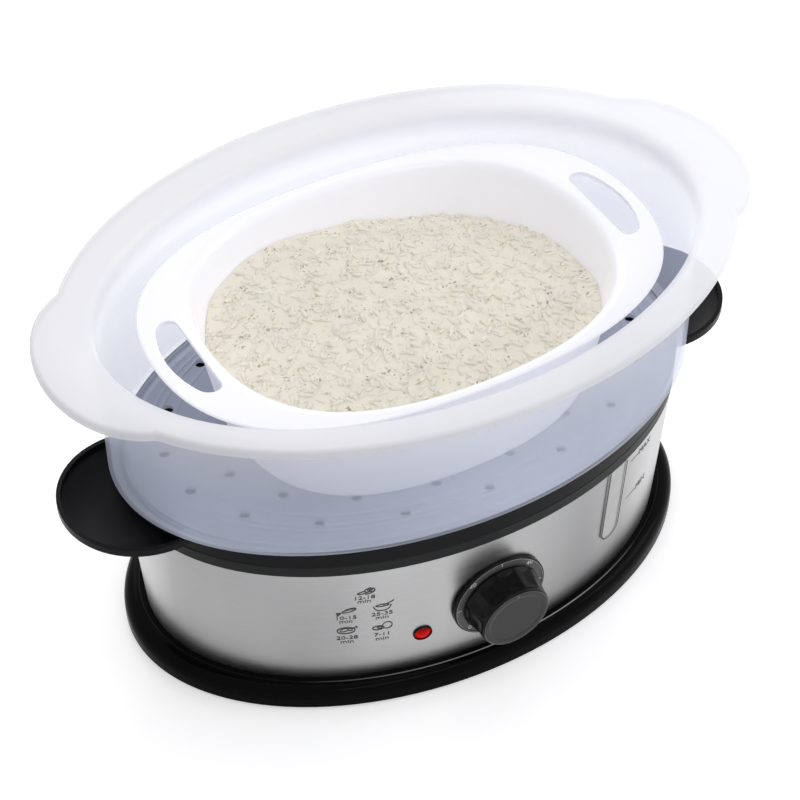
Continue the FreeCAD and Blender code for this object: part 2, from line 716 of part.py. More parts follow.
def timer_shaft():
    bottom = TIMER_FRONT - SHAFT_INSIDE + RUN_FIT
    top = KNOB_BASE + SHAFT_GRIP
    shaft = cylinder(0, 0, bottom, SHAFT_R, top - bottom)
    flat = box(SHAFT_FLAT, SHAFT_R + THROUGH, -SHAFT_R, SHAFT_R, KNOB_BASE, top + THROUGH)
    return placed(shaft.cut(flat), KNOB_PLACE)


def knob_spring():
    """Steel leaf between the knob's bore and the shaft's flat."""
    bore = cylinder(0, 0, KNOB_BASE, SHAFT_R, SHAFT_GRIP)
    leaf = box(SHAFT_FLAT + FIXED_FIT, SHAFT_R, -SHAFT_R, SHAFT_R, KNOB_BASE, KNOB_BASE + SHAFT_GRIP)
    return placed(bore.common(leaf), KNOB_PLACE)


# ---- lamp -----------------------------------------------------------------------------
def lamp_bezel():
    ring = cylinder(0, 0, -BEZEL_R, BEZEL_R, BEZEL_R + BEZEL_PROUD)
    ring = ring.makeFillet(BEZEL_EDGE, round_edges(ring, 0, BEZEL_R))
    ring = ring.cut(cylinder(0, 0, -BEZEL_R, LENS_R + FIXED_FIT, 2 * BEZEL_R))
    return placed(ring, LAMP_PLACE).cut(shell_solid(0.0))


def lamp_lens():
    dome_r = (LENS_R**2 + LENS_PROUD**2) / (2 * LENS_PROUD)
    ball = Part.makeSphere(dome_r, V(0, 0, LENS_PROUD - dome_r))
    dome = ball.common(cylinder(0, 0, 0, LENS_R, LENS_PROUD + THROUGH))
    return placed(joined([dome, cylinder(0, 0, -LENS_NECK, LENS_R, LENS_NECK)]), LAMP_PLACE)


def lamp_body():
    tube = cylinder(0, 0, -LAMP_DEPTH, LAMP_NECK_R, LAMP_DEPTH)
    flange_back = -SHELL_T - LOOSE_FIT - LAMP_FLANGE_T
    flange = cylinder(0, 0, flange_back, BEZEL_R, LAMP_FLANGE_T)
    tube = joined([tube, flange]).cut(cylinder(0, 0, -LENS_NECK, LENS_R + FIXED_FIT, LAMP_DEPTH))
    return placed(tube, LAMP_PLACE).common(shell_solid(0.0))


# ---- water gauge ----------------------------------------------------------------------
def gauge_window():
    """Clear U-shaped window, hollow behind its face and open to the port in the tank."""
    tank = tank_outside()
    outside = gauge_bar(0.0).common(shell_solid(GAUGE_PROUD)).cut(tank)
    return outside.cut(gauge_bar(GAUGE_WALL).common(shell_solid(GAUGE_PROUD - GAUGE_WALL)))


# ---- cord inlet and wiring ------------------------------------------------------------
def cord_gland():
    y = shell_half(GLAND_Z)[1]
    start = y - SHELL_T - NUT_T - GLAND_END
    end = y + GLAND_FLANGE_T
    flange = cylinder(0, y - GLAND_FLANGE_T, GLAND_Z, GLAND_FLANGE_R, 2 * GLAND_FLANGE_T, BACK)
    neck = cylinder(0, start, GLAND_Z, GLAND_R, end - start, BACK)
    bore = cylinder(0, start - THROUGH, GLAND_Z, GLAND_BORE_R, SHELL_B1, BACK)
    return joined([flange.cut(shell_solid(0.0)), neck]).cut(bore)


def gland_nut():
    y = shell_half(GLAND_Z)[1] - SHELL_T - NUT_T
    turns = [math.radians(60 * i) for i in range(7)]
    points = [V(GLAND_FLANGE_R * math.cos(t), y, GLAND_Z + GLAND_FLANGE_R * math.sin(t)) for t in turns]
    nut = Part.Face(Part.makePolygon(points)).extrude(V(0, 2 * NUT_T, 0)).common(shell_solid(-SHELL_T))
    return nut.cut(cylinder(0, y - THROUGH, GLAND_Z, GLAND_R + FIXED_FIT, SHELL_B1, BACK))


def well_places():
    return [-BLOCK_PITCH, 0.0, BLOCK_PITCH]


def terminal_block():
    front = BLOCK_Y - BLOCK_W / 2
    body = box(-BLOCK_L / 2, BLOCK_L / 2, front, front + BLOCK_W, FOOT_FLOOR, FOOT_FLOOR + BLOCK_H)
    return body.cut([cylinder(x, front, WIRE_LAY, WIRE_R + FIXED_FIT, WELL_DEPTH, BACK) for x in well_places()])


def bent_tube(points, radius):
    """Round tube along straight runs joined by tangent arcs."""
    edges = []
    start = points[0]
    for before, corner, after in zip(points, points[1:], points[2:]):
        back = before - corner
        ahead = after - corner
        trim = 0.45 * min(back.Length, ahead.Length)
        half_angle = back.getAngle(ahead) / 2
        back.normalize()
        ahead.normalize()
        arc_start = corner + back * trim
        arc_end = corner + ahead * trim
        bend_r = trim * math.tan(half_angle)
        middle = corner + (back + ahead).normalize() * (math.hypot(trim, bend_r) - bend_r)
        edges.append(Part.LineSegment(start, arc_start).toShape())
        edges.append(Part.Arc(arc_start, middle, arc_end).toShape())
        print(f"  bend radius {bend_r:.1f}")
        start = arc_end
    edges.append(Part.LineSegment(start, points[-1]).toShape())
    path = Part.Wire(edges)
    profile = Part.Wire([Part.Circle(points[0], points[1] - points[0], radius).toShape()])
    return path.makePipeShell([profile], True, False)


def inner_wires():
    well_y = BLOCK_Y - BLOCK_W / 2 + WELL_DEPTH
    left, middle, right = well_places()
    leg_x, leg_y = leg_places()[1]
    tab_z = LEG_END - TAB_L
    sensor_z = TANK_FLOOR - SENSOR_H - SENSOR_TAB_L
    under_bell = -BELL_R - 4 * WIRE_R
    left_end, right_end = [
        placed(Part.Vertex(V(x, under_bell, TIMER_BACK)), KNOB_PLACE).Point + V(0, WIRE_SEAT, 0)
        for x in (-WIRE_APART, WIRE_APART)
    ]
    straight = V(0, 11, 0)
    lamp_end = placed(Part.Vertex(V(0, 0, -LAMP_DEPTH)), LAMP_PLACE).Point
    lamp_next = placed(Part.Vertex(V(0, 0, -LAMP_DEPTH - 12)), LAMP_PLACE).Point
    lay = WIRE_LAY
    turn_y = BLOCK_Y - WIRE_TURN
    routes = [
        [V(right, well_y, lay), V(right, turn_y, lay), V(22, 26, lay), V(leg_x, leg_y, lay), V(leg_x, leg_y, tab_z)],
        [V(middle, well_y, lay), V(middle, turn_y, lay), V(-9, 16, lay), V(-13, -14, lay), V(-14, -40, lay + 2),
         V(-14, -56, lay + 12), left_end + straight, left_end],
        [right_end, right_end + straight, V(10, -56, lay + 12), V(9, -38, lay + 2),
         V(6, -16, lay), V(SENSOR_TAB_X, 0, lay), V(SENSOR_TAB_X, 0, sensor_z)],
        [V(-SENSOR_TAB_X, 0, sensor_z), V(-SENSOR_TAB_X, 0, lay + 2), V(7, 12, lay), V(25, 5, lay),
         V(leg_x, -leg_y, lay), V(leg_x, -leg_y, tab_z)],
        [lamp_end, lamp_next, V(-36, -50, lay + 16), V(-33, -34, lay + 3), V(-27, -8, lay), V(-19, 18, lay),
         V(left, turn_y, lay), V(left, well_y, lay)],
    ]
    return Part.makeCompound([bent_tube(route, WIRE_R) for route in routes])


# ---- drip tray ------------------------------------------------------------------------
def scoop(side, wall):
    """Outside of a handle, or its dish when set in by a wall."""
    top = TRAY_TOP - SCOOP_CLEAR
    under = RIM_TOP + SCOOP_CLEAR
    cx = side * SCOOP_X
    tuck = SCOOP_TUCK
    heel = SCOOP_TUCK / 2
    sections = [
        (SCOOP_A - tuck - wall, SCOOP_B - tuck - wall, under + wall, cx),
        (SCOOP_A - heel - wall, SCOOP_B - heel - wall, under + wall + SCOOP_HEEL, cx),
        (SCOOP_A - wall, SCOOP_B - wall, top - SCOOP_LIP, cx),
    ]
    above = THROUGH if wall else 0.0
    lip = prism(ellipse(SCOOP_A - wall, SCOOP_B - wall, top - SCOOP_LIP, cx), SCOOP_LIP + above)
    return joined([loft(sections[:2]), loft(sections[1:]), lip])


def tray_band():
    return loft([
        (RIM_A - RIM_EDGE, RIM_B - RIM_EDGE, RIM_TOP),
        (RIM_A, RIM_B, RIM_TOP + RIM_EDGE),
        (RIM_A, RIM_B, TRAY_TOP),
    ])


def drip_tray():
    pan_a = MOUTH_RIM_A - PAN_CLEAR
    pan_b = MOUTH_RIM_B - PAN_CLEAR
    pan = loft([(pan_a - PAN_TAPER, pan_b - PAN_TAPER, PAN_UNDER), (pan_a, pan_b, RIM_TOP)])
    band = prism(ellipse(RIM_A + SCOOP_WALL, RIM_B + SCOOP_WALL, PAN_UNDER), TRAY_TOP)
    dishes = [scoop(side, SCOOP_WALL).cut(band) for side in (-1, 1)]
    handles = [scoop(side, 0.0) for side in (-1, 1)]
    body = joined([tray_band()] + handles).cut(dishes).fuse(pan)
    step_z = RIM_TOP + TRAY_STEP_T
    seat = prism(ellipse(RIM_A - TRAY_WALL, RIM_B - TRAY_WALL, step_z), TRAY_H)
    in_a = pan_a - PAN_WALL
    in_b = pan_b - PAN_WALL
    hollow = loft([(in_a - PAN_TAPER, in_b - PAN_TAPER, PAN_UNDER + PAN_WALL), (in_a, in_b, step_z)])
    tray = body.cut(seat).cut(hollow)
    tray = tray.fuse(cylinder(0, 0, PAN_UNDER, CHIMNEY_R, CHIMNEY_H))
    return tray.cut(cylinder(0, 0, 0, CHIMNEY_R - CHIMNEY_WALL, 2 * TRAY_TOP))


# ---- steam basket ---------------------------------------------------------------------
def collar_block(set_in, z0, z1):
    """Collar outline with its two ears, as a block from z0 to z1."""
    blocks = [prism(ellipse(COLLAR_A - set_in, COLLAR_B - set_in, z0), z1 - z0)]
    for side in (-1, 1):
        blocks.append(prism(ellipse(EAR_A - set_in, EAR_B - set_in, z0, side * EAR_X), z1 - z0))
    block = joined(blocks)
    corners = [e for e in block.Edges if abs(e.Vertexes[0].Z - e.Vertexes[-1].Z) > (z1 - z0) / 2]
    return block.makeFillet(EAR_BLEND + set_in, corners)


def tub_stack(wall, floor_sections, drop):
    """Tub and flare as one solid: the outside face, or the inside when set in by a wall."""
    centre_a = TUB_A1 - TUB_WALL + FLARE_R
    centre_b = TUB_B1 - TUB_WALL + FLARE_R
    radius = FLARE_R - TUB_WALL + wall
    flare = []
    for i in range(ROUND_STEPS + 1):
        turn = math.radians(FLARE_DEG) * i / ROUND_STEPS
        out = radius * math.cos(turn)
        flare.append((centre_a - out, centre_b - out, TUB_FLARE_Z + radius * math.sin(turn)))
    edge = LIP_EDGE + TUB_WALL - wall
    flange = (COLLAR_A - edge, COLLAR_B - edge, COLLAR_TOP - drop)
    top = (flange[0], flange[1], COLLAR_TOP + THROUGH)
    return loft(floor_sections + flare + [flange, top])


def steam_basket():
    outside = tub_stack(0.0, [
        (TUB_A0 - TUB_HEEL, TUB_B0 - TUB_HEEL, TRAY_TOP),
        (TUB_A0, TUB_B0, TRAY_TOP + TUB_HEEL),
    ], COLLAR_T)
    inside = tub_stack(TUB_WALL, [(FLOOR_OVAL_A, FLOOR_OVAL_B, FLOOR_TOP)], 0.0)
    rim = collar_block(0.0, COLLAR_TOP - LIP_H, COLLAR_TOP)
    top_edges = [e for e in rim.Edges if e.BoundBox.ZMin > COLLAR_TOP - LIP_H / 2]
    rim = rim.makeFillet(LIP_EDGE, top_edges)
    under = collar_block(COLLAR_T, COLLAR_TOP - LIP_H - THROUGH, COLLAR_TOP - COLLAR_T)
    rim = rim.cut(under)
    guide_a = RIM_A - TRAY_WALL - LOOSE_FIT
    guide_b = RIM_B - TRAY_WALL - LOOSE_FIT
    guide = prism(ellipse(guide_a, guide_b, TRAY_TOP - GUIDE_H), GUIDE_H)
    guide = guide.cut(prism(ellipse(guide_a - GUIDE_WALL, guide_b - GUIDE_WALL, TRAY_TOP - GUIDE_H), GUIDE_H))
    basket = joined([outside.common(prism(ellipse(COLLAR_A, COLLAR_B, TRAY_TOP), COLLAR_TOP - TRAY_TOP)), rim])
    basket = basket.cut(inside)
    ribs = []
    for share in RIBS:
        a = FLOOR_OVAL_A * share
        b = FLOOR_OVAL_B * share
        rib = prism(ellipse(a, b, FLOOR_TOP), RIB_H)
        ribs.append(rib.cut(prism(ellipse(a - RIB_W, b - RIB_W, FLOOR_TOP), RIB_H)))
    basket = joined([basket, guide] + ribs)
    holes = []
    for share, count in HOLE_ROWS:
        for i in range(count):
            turn = 2 * math.pi * (i + 0.5) / count
            x = FLOOR_OVAL_A * share * math.cos(turn)
            y = FLOOR_OVAL_B * share * math.sin(turn)
            holes.append(cylinder(x, y, TRAY_TOP - THROUGH, HOLE_R, FLOOR_T + 2 * THROUGH))
    return basket.cut(holes)


# ---- rice bowl and rice ---------------------------------------------------------------
def bowl_sections(grow, floor_z):
    """Inside of the bowl from its floor to its mouth, grown by a distance."""
    return [
        (BOWL_FLOOR_A + grow, BOWL_FLOOR_B + grow, floor_z),
        (BOWL_FLOOR_A + HEEL_W + grow, BOWL_FLOOR_B + HEEL_W + grow, floor_z + HEEL_H),
        (MOUTH_A + grow, MOUTH_B + grow, BOWL_TOP),
    ]


def handle_slot(side):
    """Hole at one end of the bowl's rim: straight inside, curved outside, with round corners."""
    z = BOWL_TOP - 2 * BOWL_WALL
    outer_x = BOWL_A - SLOT_OUT
    inner_x = outer_x - SLOT_W
    end_x = outer_x - SLOT_BEND
    outside = Part.Arc(V(end_x, -SLOT_HALF, z), V(outer_x, 0, z), V(end_x, SLOT_HALF, z)).toShape()
    inside = Part.makePolygon([
        V(end_x, SLOT_HALF, z), V(inner_x, SLOT_HALF, z), V(inner_x, -SLOT_HALF, z), V(end_x, -SLOT_HALF, z)
    ])
    slot = prism(Part.Wire([outside] + inside.Edges), 3 * BOWL_WALL)
    upright = [e for e in slot.Edges if abs(e.Vertexes[0].Z - e.Vertexes[-1].Z) > BOWL_WALL]
    slot = slot.makeFillet(SLOT_ROUND, upright)
    if side < 0:
        slot = slot.mirror(V(0, 0, 0), RIGHT)
    return slot


def rice_bowl():
    rim = prism(rounded_oval(BOWL_A, BOWL_B, BOWL_TOP - BOWL_WALL), BOWL_WALL)
    level = [e for e in rim.Edges if e.BoundBox.ZMax - e.BoundBox.ZMin < BOWL_WALL / 2]
    rim = rim.makeFillet(BOWL_EDGE, level)
    outside = loft(bowl_sections(BOWL_WALL, FLOOR_TOP), rounded_oval)
    inside = loft(bowl_sections(0.0, FLOOR_TOP + BOWL_WALL), rounded_oval)
    return joined([rim, outside]).cut([inside, handle_slot(-1), handle_slot(1)])


def cooked_rice():
    floor, heel, mouth = bowl_sections(-RICE_GAP, FLOOR_TOP + BOWL_WALL)
    edge_z = BOWL_TOP - RICE_EDGE
    share = (edge_z - heel[2]) / (mouth[2] - heel[2])
    edge_a = heel[0] + (mouth[0] - heel[0]) * share
    edge_b = heel[1] + (mouth[1] - heel[1]) * share
    sections = [floor, heel, (edge_a, edge_b, edge_z)]
    for i in range(1, RICE_STEPS + 1):
        turn = math.radians(RICE_TURN_DEG) * i / RICE_STEPS
        spread = math.cos(turn)
        sections.append((edge_a * spread, edge_b * spread, edge_z + RICE_CROWN * math.sin(turn)))
    return loft(sections, rounded_oval)


# ---- write every piece ----------------------------------------------------------------
PIECES = [
    rubber_feet, base_foot, base_screws, steel_shell, water_reservoir,
    heating_element, heater_gasket, heater_flange, heater_clamp, heater_bolt, heater_nut,
    heater_terminals, thermostat, thermostat_clip, thermal_fuse, fuse_clip, steam_ring,
    dial_plate, timer_body, timer_bell, timer_screws, timer_knob, timer_shaft, knob_spring,
    lamp_bezel, lamp_lens, lamp_body, gauge_window, cord_gland, gland_nut, terminal_block,
    inner_wires, drip_tray, steam_basket, rice_bowl, cooked_rice,
]

os.makedirs("parts", exist_ok=True)
for make in PIECES:
    export(make.__name__, make())
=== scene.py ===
import json
import math
import random

import bpy
from mathutils import Matrix, Vector, noise

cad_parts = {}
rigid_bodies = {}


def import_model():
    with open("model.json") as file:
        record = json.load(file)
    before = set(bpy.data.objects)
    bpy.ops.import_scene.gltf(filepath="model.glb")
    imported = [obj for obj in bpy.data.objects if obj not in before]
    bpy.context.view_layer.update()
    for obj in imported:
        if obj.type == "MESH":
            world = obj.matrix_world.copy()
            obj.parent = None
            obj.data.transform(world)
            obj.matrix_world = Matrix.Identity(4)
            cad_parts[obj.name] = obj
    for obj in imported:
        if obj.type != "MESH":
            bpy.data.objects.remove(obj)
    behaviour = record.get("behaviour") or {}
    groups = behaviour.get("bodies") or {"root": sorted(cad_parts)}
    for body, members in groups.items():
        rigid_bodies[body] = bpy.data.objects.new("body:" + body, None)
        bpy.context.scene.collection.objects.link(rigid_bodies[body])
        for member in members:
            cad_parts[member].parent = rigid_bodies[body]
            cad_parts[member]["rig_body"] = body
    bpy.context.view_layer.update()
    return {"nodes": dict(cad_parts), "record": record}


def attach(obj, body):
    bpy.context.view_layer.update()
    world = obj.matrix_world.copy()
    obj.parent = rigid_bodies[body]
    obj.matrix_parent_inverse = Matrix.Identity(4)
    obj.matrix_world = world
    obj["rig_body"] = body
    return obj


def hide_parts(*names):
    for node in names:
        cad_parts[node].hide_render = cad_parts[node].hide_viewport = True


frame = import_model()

# Electric food steamer. Metres, +Z up, +X along the length, -Y the control side.
MM = 0.001


# ---- camera ---------------------------------------------------------------------------
CAMERA_PLACE = (-0.4446, -0.78041, 0.95183)
CAMERA_TARGET = (0.05184, 0.09547, 0.0)
CAMERA_ROLL = -0.11                    # degrees
CAMERA_LENS, CAMERA_SENSOR = 106.76, 36.0


def add_camera():
    lens = bpy.data.cameras.new("camera")
    lens.lens = CAMERA_LENS
    lens.sensor_width = CAMERA_SENSOR
    lens.clip_end = 20.0
    camera = bpy.data.objects.new("camera", lens)
    bpy.context.scene.collection.objects.link(camera)
    place = Vector(CAMERA_PLACE)
    turn = (Vector(CAMERA_TARGET) - place).to_track_quat("-Z", "Y").to_matrix()
    roll = Matrix.Rotation(math.radians(CAMERA_ROLL), 3, "Z")
    camera.matrix_world = Matrix.Translation(place) @ (turn @ roll).to_4x4()
    bpy.context.scene.camera = camera


# ---- materials ------------------------------------------------------------------------
class Number:
    """A shader socket's value: arithmetic on it adds Math nodes to its material."""

    def __init__(self, finish, socket):
        self.finish = finish
        self.socket = socket

    def math(self, operation, first, second):
        return self.finish.node("ShaderNodeMath", {"operation": operation}, {0: first, 1: second})

    def __add__(self, other):
        return self.math("ADD", self, other)

    def __sub__(self, other):
        return self.math("SUBTRACT", self, other)

    def highest(self, other):
        return self.math("MAXIMUM", self, other)

    def size(self):
        return self.math("ABSOLUTE", self, 0.0)

    def __rsub__(self, other):
        return self.math("SUBTRACT", other, self)

    def __mul__(self, other):
        return self.math("MULTIPLY", self, other)

    __radd__ = __add__
    __rmul__ = __mul__


class Finish:
    """A material with one Principled shader, and short ways to its usual nodes."""

    def __init__(self, name, **sockets):
        self.material = bpy.data.materials.new(name)
        self.material.use_nodes = True
        self.tree = self.material.node_tree
        self.shader = next(n for n in self.tree.nodes if n.type == "BSDF_PRINCIPLED")
        for socket, value in sockets.items():
            self.shader.inputs[socket.replace("_", " ")].default_value = value

    def node(self, kind, settings=None, inputs=None, output=0):
        node = self.tree.nodes.new(kind)
        for key, value in (settings or {}).items():
            setattr(node, key, value)
        for key, value in (inputs or {}).items():
            self.feed(node.inputs[key], value)
        return Number(self, node.outputs[output])

    def feed(self, socket, value):
        if isinstance(value, Number):
            self.tree.links.new(value.socket, socket)
        else:
            socket.default_value = value

    def vary(self, socket, value):
        self.feed(self.shader.inputs[socket], value)

    def place(self, stretch=(1.0, 1.0, 1.0)):
        """Object coordinates, stretched by a factor along each axis."""
        spot = self.node("ShaderNodeTexCoord", output=3)
        return self.node("ShaderNodeMapping", None, {"Vector": spot, "Scale": stretch})

    def axes(self):
        """The object coordinates one by one: along, across and up."""
        spot = self.place()
        return tuple(self.node("ShaderNodeSeparateXYZ", None, {0: spot}, i) for i in range(3))

    def noise(self, scale, detail=2.0, stretch=(1.0, 1.0, 1.0)):
        return self.node("ShaderNodeTexNoise", None, {
            "Vector": self.place(stretch), "Scale": scale, "Detail": detail,
        })

    def between(self, value, low, high):
        """The value's range from low to high, spread over 0 to 1."""
        return self.node("ShaderNodeMapRange", None, {0: value, 1: low, 2: high})

    def blend(self, mask, colour_a, colour_b):
        return self.node("ShaderNodeMix", {"data_type": "RGBA"}, {0: mask, 6: colour_a, 7: colour_b}, 2)

    def relief(self, height, depth, strength=1.0):
        self.vary("Normal", self.node("ShaderNodeBump", None, {
            "Height": height, "Distance": depth, "Strength": strength,
        }))


def colour(red, green, blue):
    return (red, green, blue, 1.0)


def moulded(name, shade, roughness, grain=900.0, depth=0.00003, spread=0.12, **sockets):
    """Moulded plastic or rubber: fine grain, and a shade and gloss that vary a little."""
    finish = Finish(name, **sockets)
    cloud = finish.noise(18.0, 3.0)
    lighter = tuple(min(1.0, c * (1 + spread) + 0.002) for c in shade)
    darker = tuple(c * (1 - spread) for c in shade)
    finish.vary("Base Color", finish.blend(cloud, colour(*darker), colour(*lighter)))
    finish.vary("Roughness", finish.noise(45.0, 2.0) * 0.1 + (roughness - 0.05))
    finish.relief(finish.noise(grain, 2.0), depth, 0.35)
    return finish.material


def worked_metal(name, shade, roughness, stretch=(1.0, 1.0, 1.0), scale=600.0):
    """Drawn, rolled or plated metal: fine streaks and an uneven gloss."""
    finish = Finish(name, Metallic=1.0)
    streak = finish.noise(scale, 3.0, stretch)
    stain = finish.noise(60.0, 3.0)
    darker = tuple(c * 0.72 for c in shade)
    finish.vary("Base Color", finish.blend(stain, colour(*darker), colour(*shade)))
    finish.vary("Roughness", streak * 0.18 + (roughness - 0.09))
    finish.relief(streak, 0.00002, 0.3)
    return finish.material


STEEL_DARK, STEEL_LIGHT = (0.29, 0.29, 0.292), (0.56, 0.56, 0.56)
PAINTED_GLOW_ALONG, PAINTED_GLOW_REACH = -0.033, 0.05  # the place of the painted glow, the shell's brightest painted reflection, and half its width, in metres
END_ALONG, END_ACROSS = 0.86, 0.51     # level direction from the middle to the shell's ends, which are painted paler as painted reflection


def brushed_steel():
    """Sheet brushed along its length: hair-fine level streaks and a tone that drifts slowly along it, with
    painted reflection in its colour: a painted glow near the middle, painted shade towards the right and
    the left, and paler painted ends.
    """
    finish = Finish("brushed_steel", Metallic=1.0)
    hair = finish.noise(1.0, 4.0, (45.0, 45.0, 4200.0))
    drift = finish.noise(1.0, 1.0, (16.0, 16.0, 5.0))
    along, across, _ = finish.axes()
    # painted reflection and shade: a bright painted glow, darker painted shade to the right and the left,
    # paler painted ends
    painted_glow = 1.0 - finish.between((along - PAINTED_GLOW_ALONG).size(), 0.0, PAINTED_GLOW_REACH)
    right = finish.between(along, 0.0, 0.06)
    left = finish.between(along * -1.0, 0.09, 0.14)
    ends = finish.between((along * END_ALONG - across * END_ACROSS).size(), 0.114, 0.130)
    streaks = finish.between(hair * 0.25 + drift * 0.75, 0.3, 0.7)
    tone = streaks * 0.6 + painted_glow * 0.5 - right * 0.32 - left * 0.25 + ends * 0.8 + 0.1
    finish.vary("Base Color", finish.blend(tone, colour(*STEEL_DARK), colour(*STEEL_LIGHT)))
    finish.vary("Roughness", finish.between(hair, 0.2, 0.8) * 0.12 + 0.26)
    finish.relief(hair, 0.00002, 0.2)
    return finish.material


# heights between which the basket goes from its floor, which has a painted glow, to its wall, from a
# darker tint that is partly painted shade to pale, and from clear to milky
FLOOR_BLEND, TINT_AND_SHADE_BLEND, COLLAR_BLEND = (0.117, 0.121), (0.150, 0.200), (0.185, 0.200)


def clouded_plastic():
    """Milky see-through plastic of the basket, thicker and milkier towards its collar; its lower wall is
    painted darker and bluer, partly as painted shade, and it has a painted glow on its floor, on its wall
    away from the left end and on the collar's right end.
    """
    finish = Finish("clouded_plastic", IOR=1.49, Specular_IOR_Level=0.3, Emission_Strength=0.12)
    cloud = finish.noise(14.0, 3.0)
    along, across, height = finish.axes()
    collar = finish.between(height, *COLLAR_BLEND)
    # lower wall painted darker and bluer than the collar: partly painted shade, partly the milkier collar
    finish.vary("Base Color", finish.blend(
        finish.between(height, *TINT_AND_SHADE_BLEND),
        finish.blend(cloud, colour(0.62, 0.67, 0.82), colour(0.70, 0.75, 0.90)),
        finish.blend(cloud, colour(0.92, 0.92, 0.98), colour(0.97, 0.97, 1.0))))
    finish.vary("Roughness", finish.noise(40.0, 2.0) * 0.1 + 0.26)
    finish.vary("Alpha", cloud * 0.06 + collar * 0.36 + 0.32)
    # painted glow (Emission) on the wall away from its left end, on the collar's right end and on the
    # floor, standing in for light scattered inside
    lit = finish.between(along + across * 0.5, -0.17, -0.05) * (1.0 - collar) * 0.9
    lit = lit.highest(finish.between(along, 0.06, 0.14) * collar * 0.7)
    painted_glow = lit.highest((1.0 - finish.between(height, *FLOOR_BLEND)) * 0.6)
    finish.vary("Emission Color", finish.blend(painted_glow, colour(0.0, 0.0, 0.0), colour(0.94, 0.96, 1.0)))
    finish.relief(finish.noise(500.0, 2.0), 0.00002, 0.25)
    return finish.material


def boiled_rice(name, pale, cream):
    """Soft moist rice: slow drifts of tone, painted greenish shade in hollows, a few small dark gaps
    painted as shadow, and a faint painted glow.
    """
    # a faint cream Emission is a painted glow, standing in for light scattered inside the grains
    finish = Finish(
        name, Subsurface_Weight=0.3, Subsurface_Scale=0.003, Subsurface_Radius=(1.0, 0.9, 0.7),
        Emission_Color=colour(1.0, 0.90, 0.70), Emission_Strength=0.03,
    )
    tone = finish.node("ShaderNodeAttribute", {"attribute_name": "tone"}, output=2)
    drift = finish.noise(45.0, 2.0)
    flesh = finish.blend(finish.between(tone + drift, 0.5, 1.3), colour(*cream), colour(*pale))
    # painted shade: greenish darkening in hollows placed by noise
    painted_hollow_shade = finish.between(finish.noise(190.0, 2.0), 0.62, 0.76)
    shaded = finish.blend(painted_hollow_shade * 0.75, flesh, colour(0.50, 0.47, 0.31))
    # painted shadow: small dark gaps in scattered patches
    patch = finish.between(finish.noise(150.0, 2.0), 0.55, 0.62)
    painted_gap_shadow = finish.between(finish.noise(620.0, 1.0), 0.60, 0.67) * patch
    finish.vary("Base Color", finish.blend(painted_gap_shadow * 0.8, shaded, colour(0.22, 0.19, 0.10)))
    finish.vary("Roughness", finish.noise(180.0, 2.0) * 0.2 + 0.38)
    finish.relief(finish.noise(1100.0, 2.0), 0.00005, 0.3)
    return finish.material


def red_lens():
    finish = Finish("red_lens", Specular_IOR_Level=0.08, Emission_Strength=0.5)
    cell = finish.node("ShaderNodeTexVoronoi", None, {"Vector": finish.place(), "Scale": 1500.0})
    top = finish.between(finish.axes()[2], 0.0405, 0.0435)
    finish.vary("Base Color", finish.blend(cell, colour(0.26, 0.001, 0.001), colour(0.16, 0.001, 0.001)))
    lit = finish.blend(cell, colour(1.0, 0.0, 0.0), colour(0.65, 0.0, 0.0))
    finish.vary("Emission Color", finish.blend(top * 0.85, lit, colour(0.10, 0.0, 0.0)))
    finish.vary("Roughness", finish.noise(300.0) * 0.1 + 0.25)
    return finish.material


def clear_plastic():
    finish = Finish("clear_plastic", IOR=1.49)
    haze = finish.noise(60.0, 2.0)
    finish.vary("Base Color", finish.blend(haze, colour(0.60, 0.60, 0.595), colour(0.70, 0.70, 0.695)))
    finish.vary("Alpha", haze * 0.1 + 0.75)
    finish.vary("Roughness", haze * 0.1 + 0.12)
    return finish.material


def painted_highlight_bead():
    """Polished edge of the foot with a painted highlight: pale grey painted into its colour in front of
    the knob, where the light would catch it.
    """
    finish = Finish("painted_highlight_bead", Specular_IOR_Level=0.1)
    along = finish.axes()[0]
    # painted highlight: pale grey only along this stretch in front of the knob
    lit = finish.between(along, -0.105, -0.02) * (1.0 - finish.between(along, 0.05, 0.10))
    shine = lit * (finish.noise(25.0, 2.0) * 0.6 + 0.5)
    finish.vary("Base Color", finish.blend(shine, colour(0.002, 0.002, 0.0025), colour(0.40, 0.40, 0.41)))
    finish.vary("Roughness", finish.noise(300.0) * 0.1 + 0.15)
    return finish.material


FLOOR_SHADE, FLOOR_GLOW = (0.80, 0.80, 0.81), (0.49, 0.49, 0.495)


def studio_floor():
    """Pale floor that shows white to the eye and in mirrors, and keeps shadow and reflection."""
    finish = Finish("studio_floor", Base_Color=colour(*FLOOR_SHADE), Emission_Strength=1.0)
    camera, glossy, through = (finish.node("ShaderNodeLightPath", output=ray) for ray in (0, 3, 6))
    seen = camera.highest(glossy).highest(through)
    finish.vary("Roughness", finish.noise(3.0) * 0.02 + 0.24)
    finish.vary("Emission Color", finish.blend(seen, colour(0.0, 0.0, 0.0), colour(*FLOOR_GLOW)))
    return finish.material


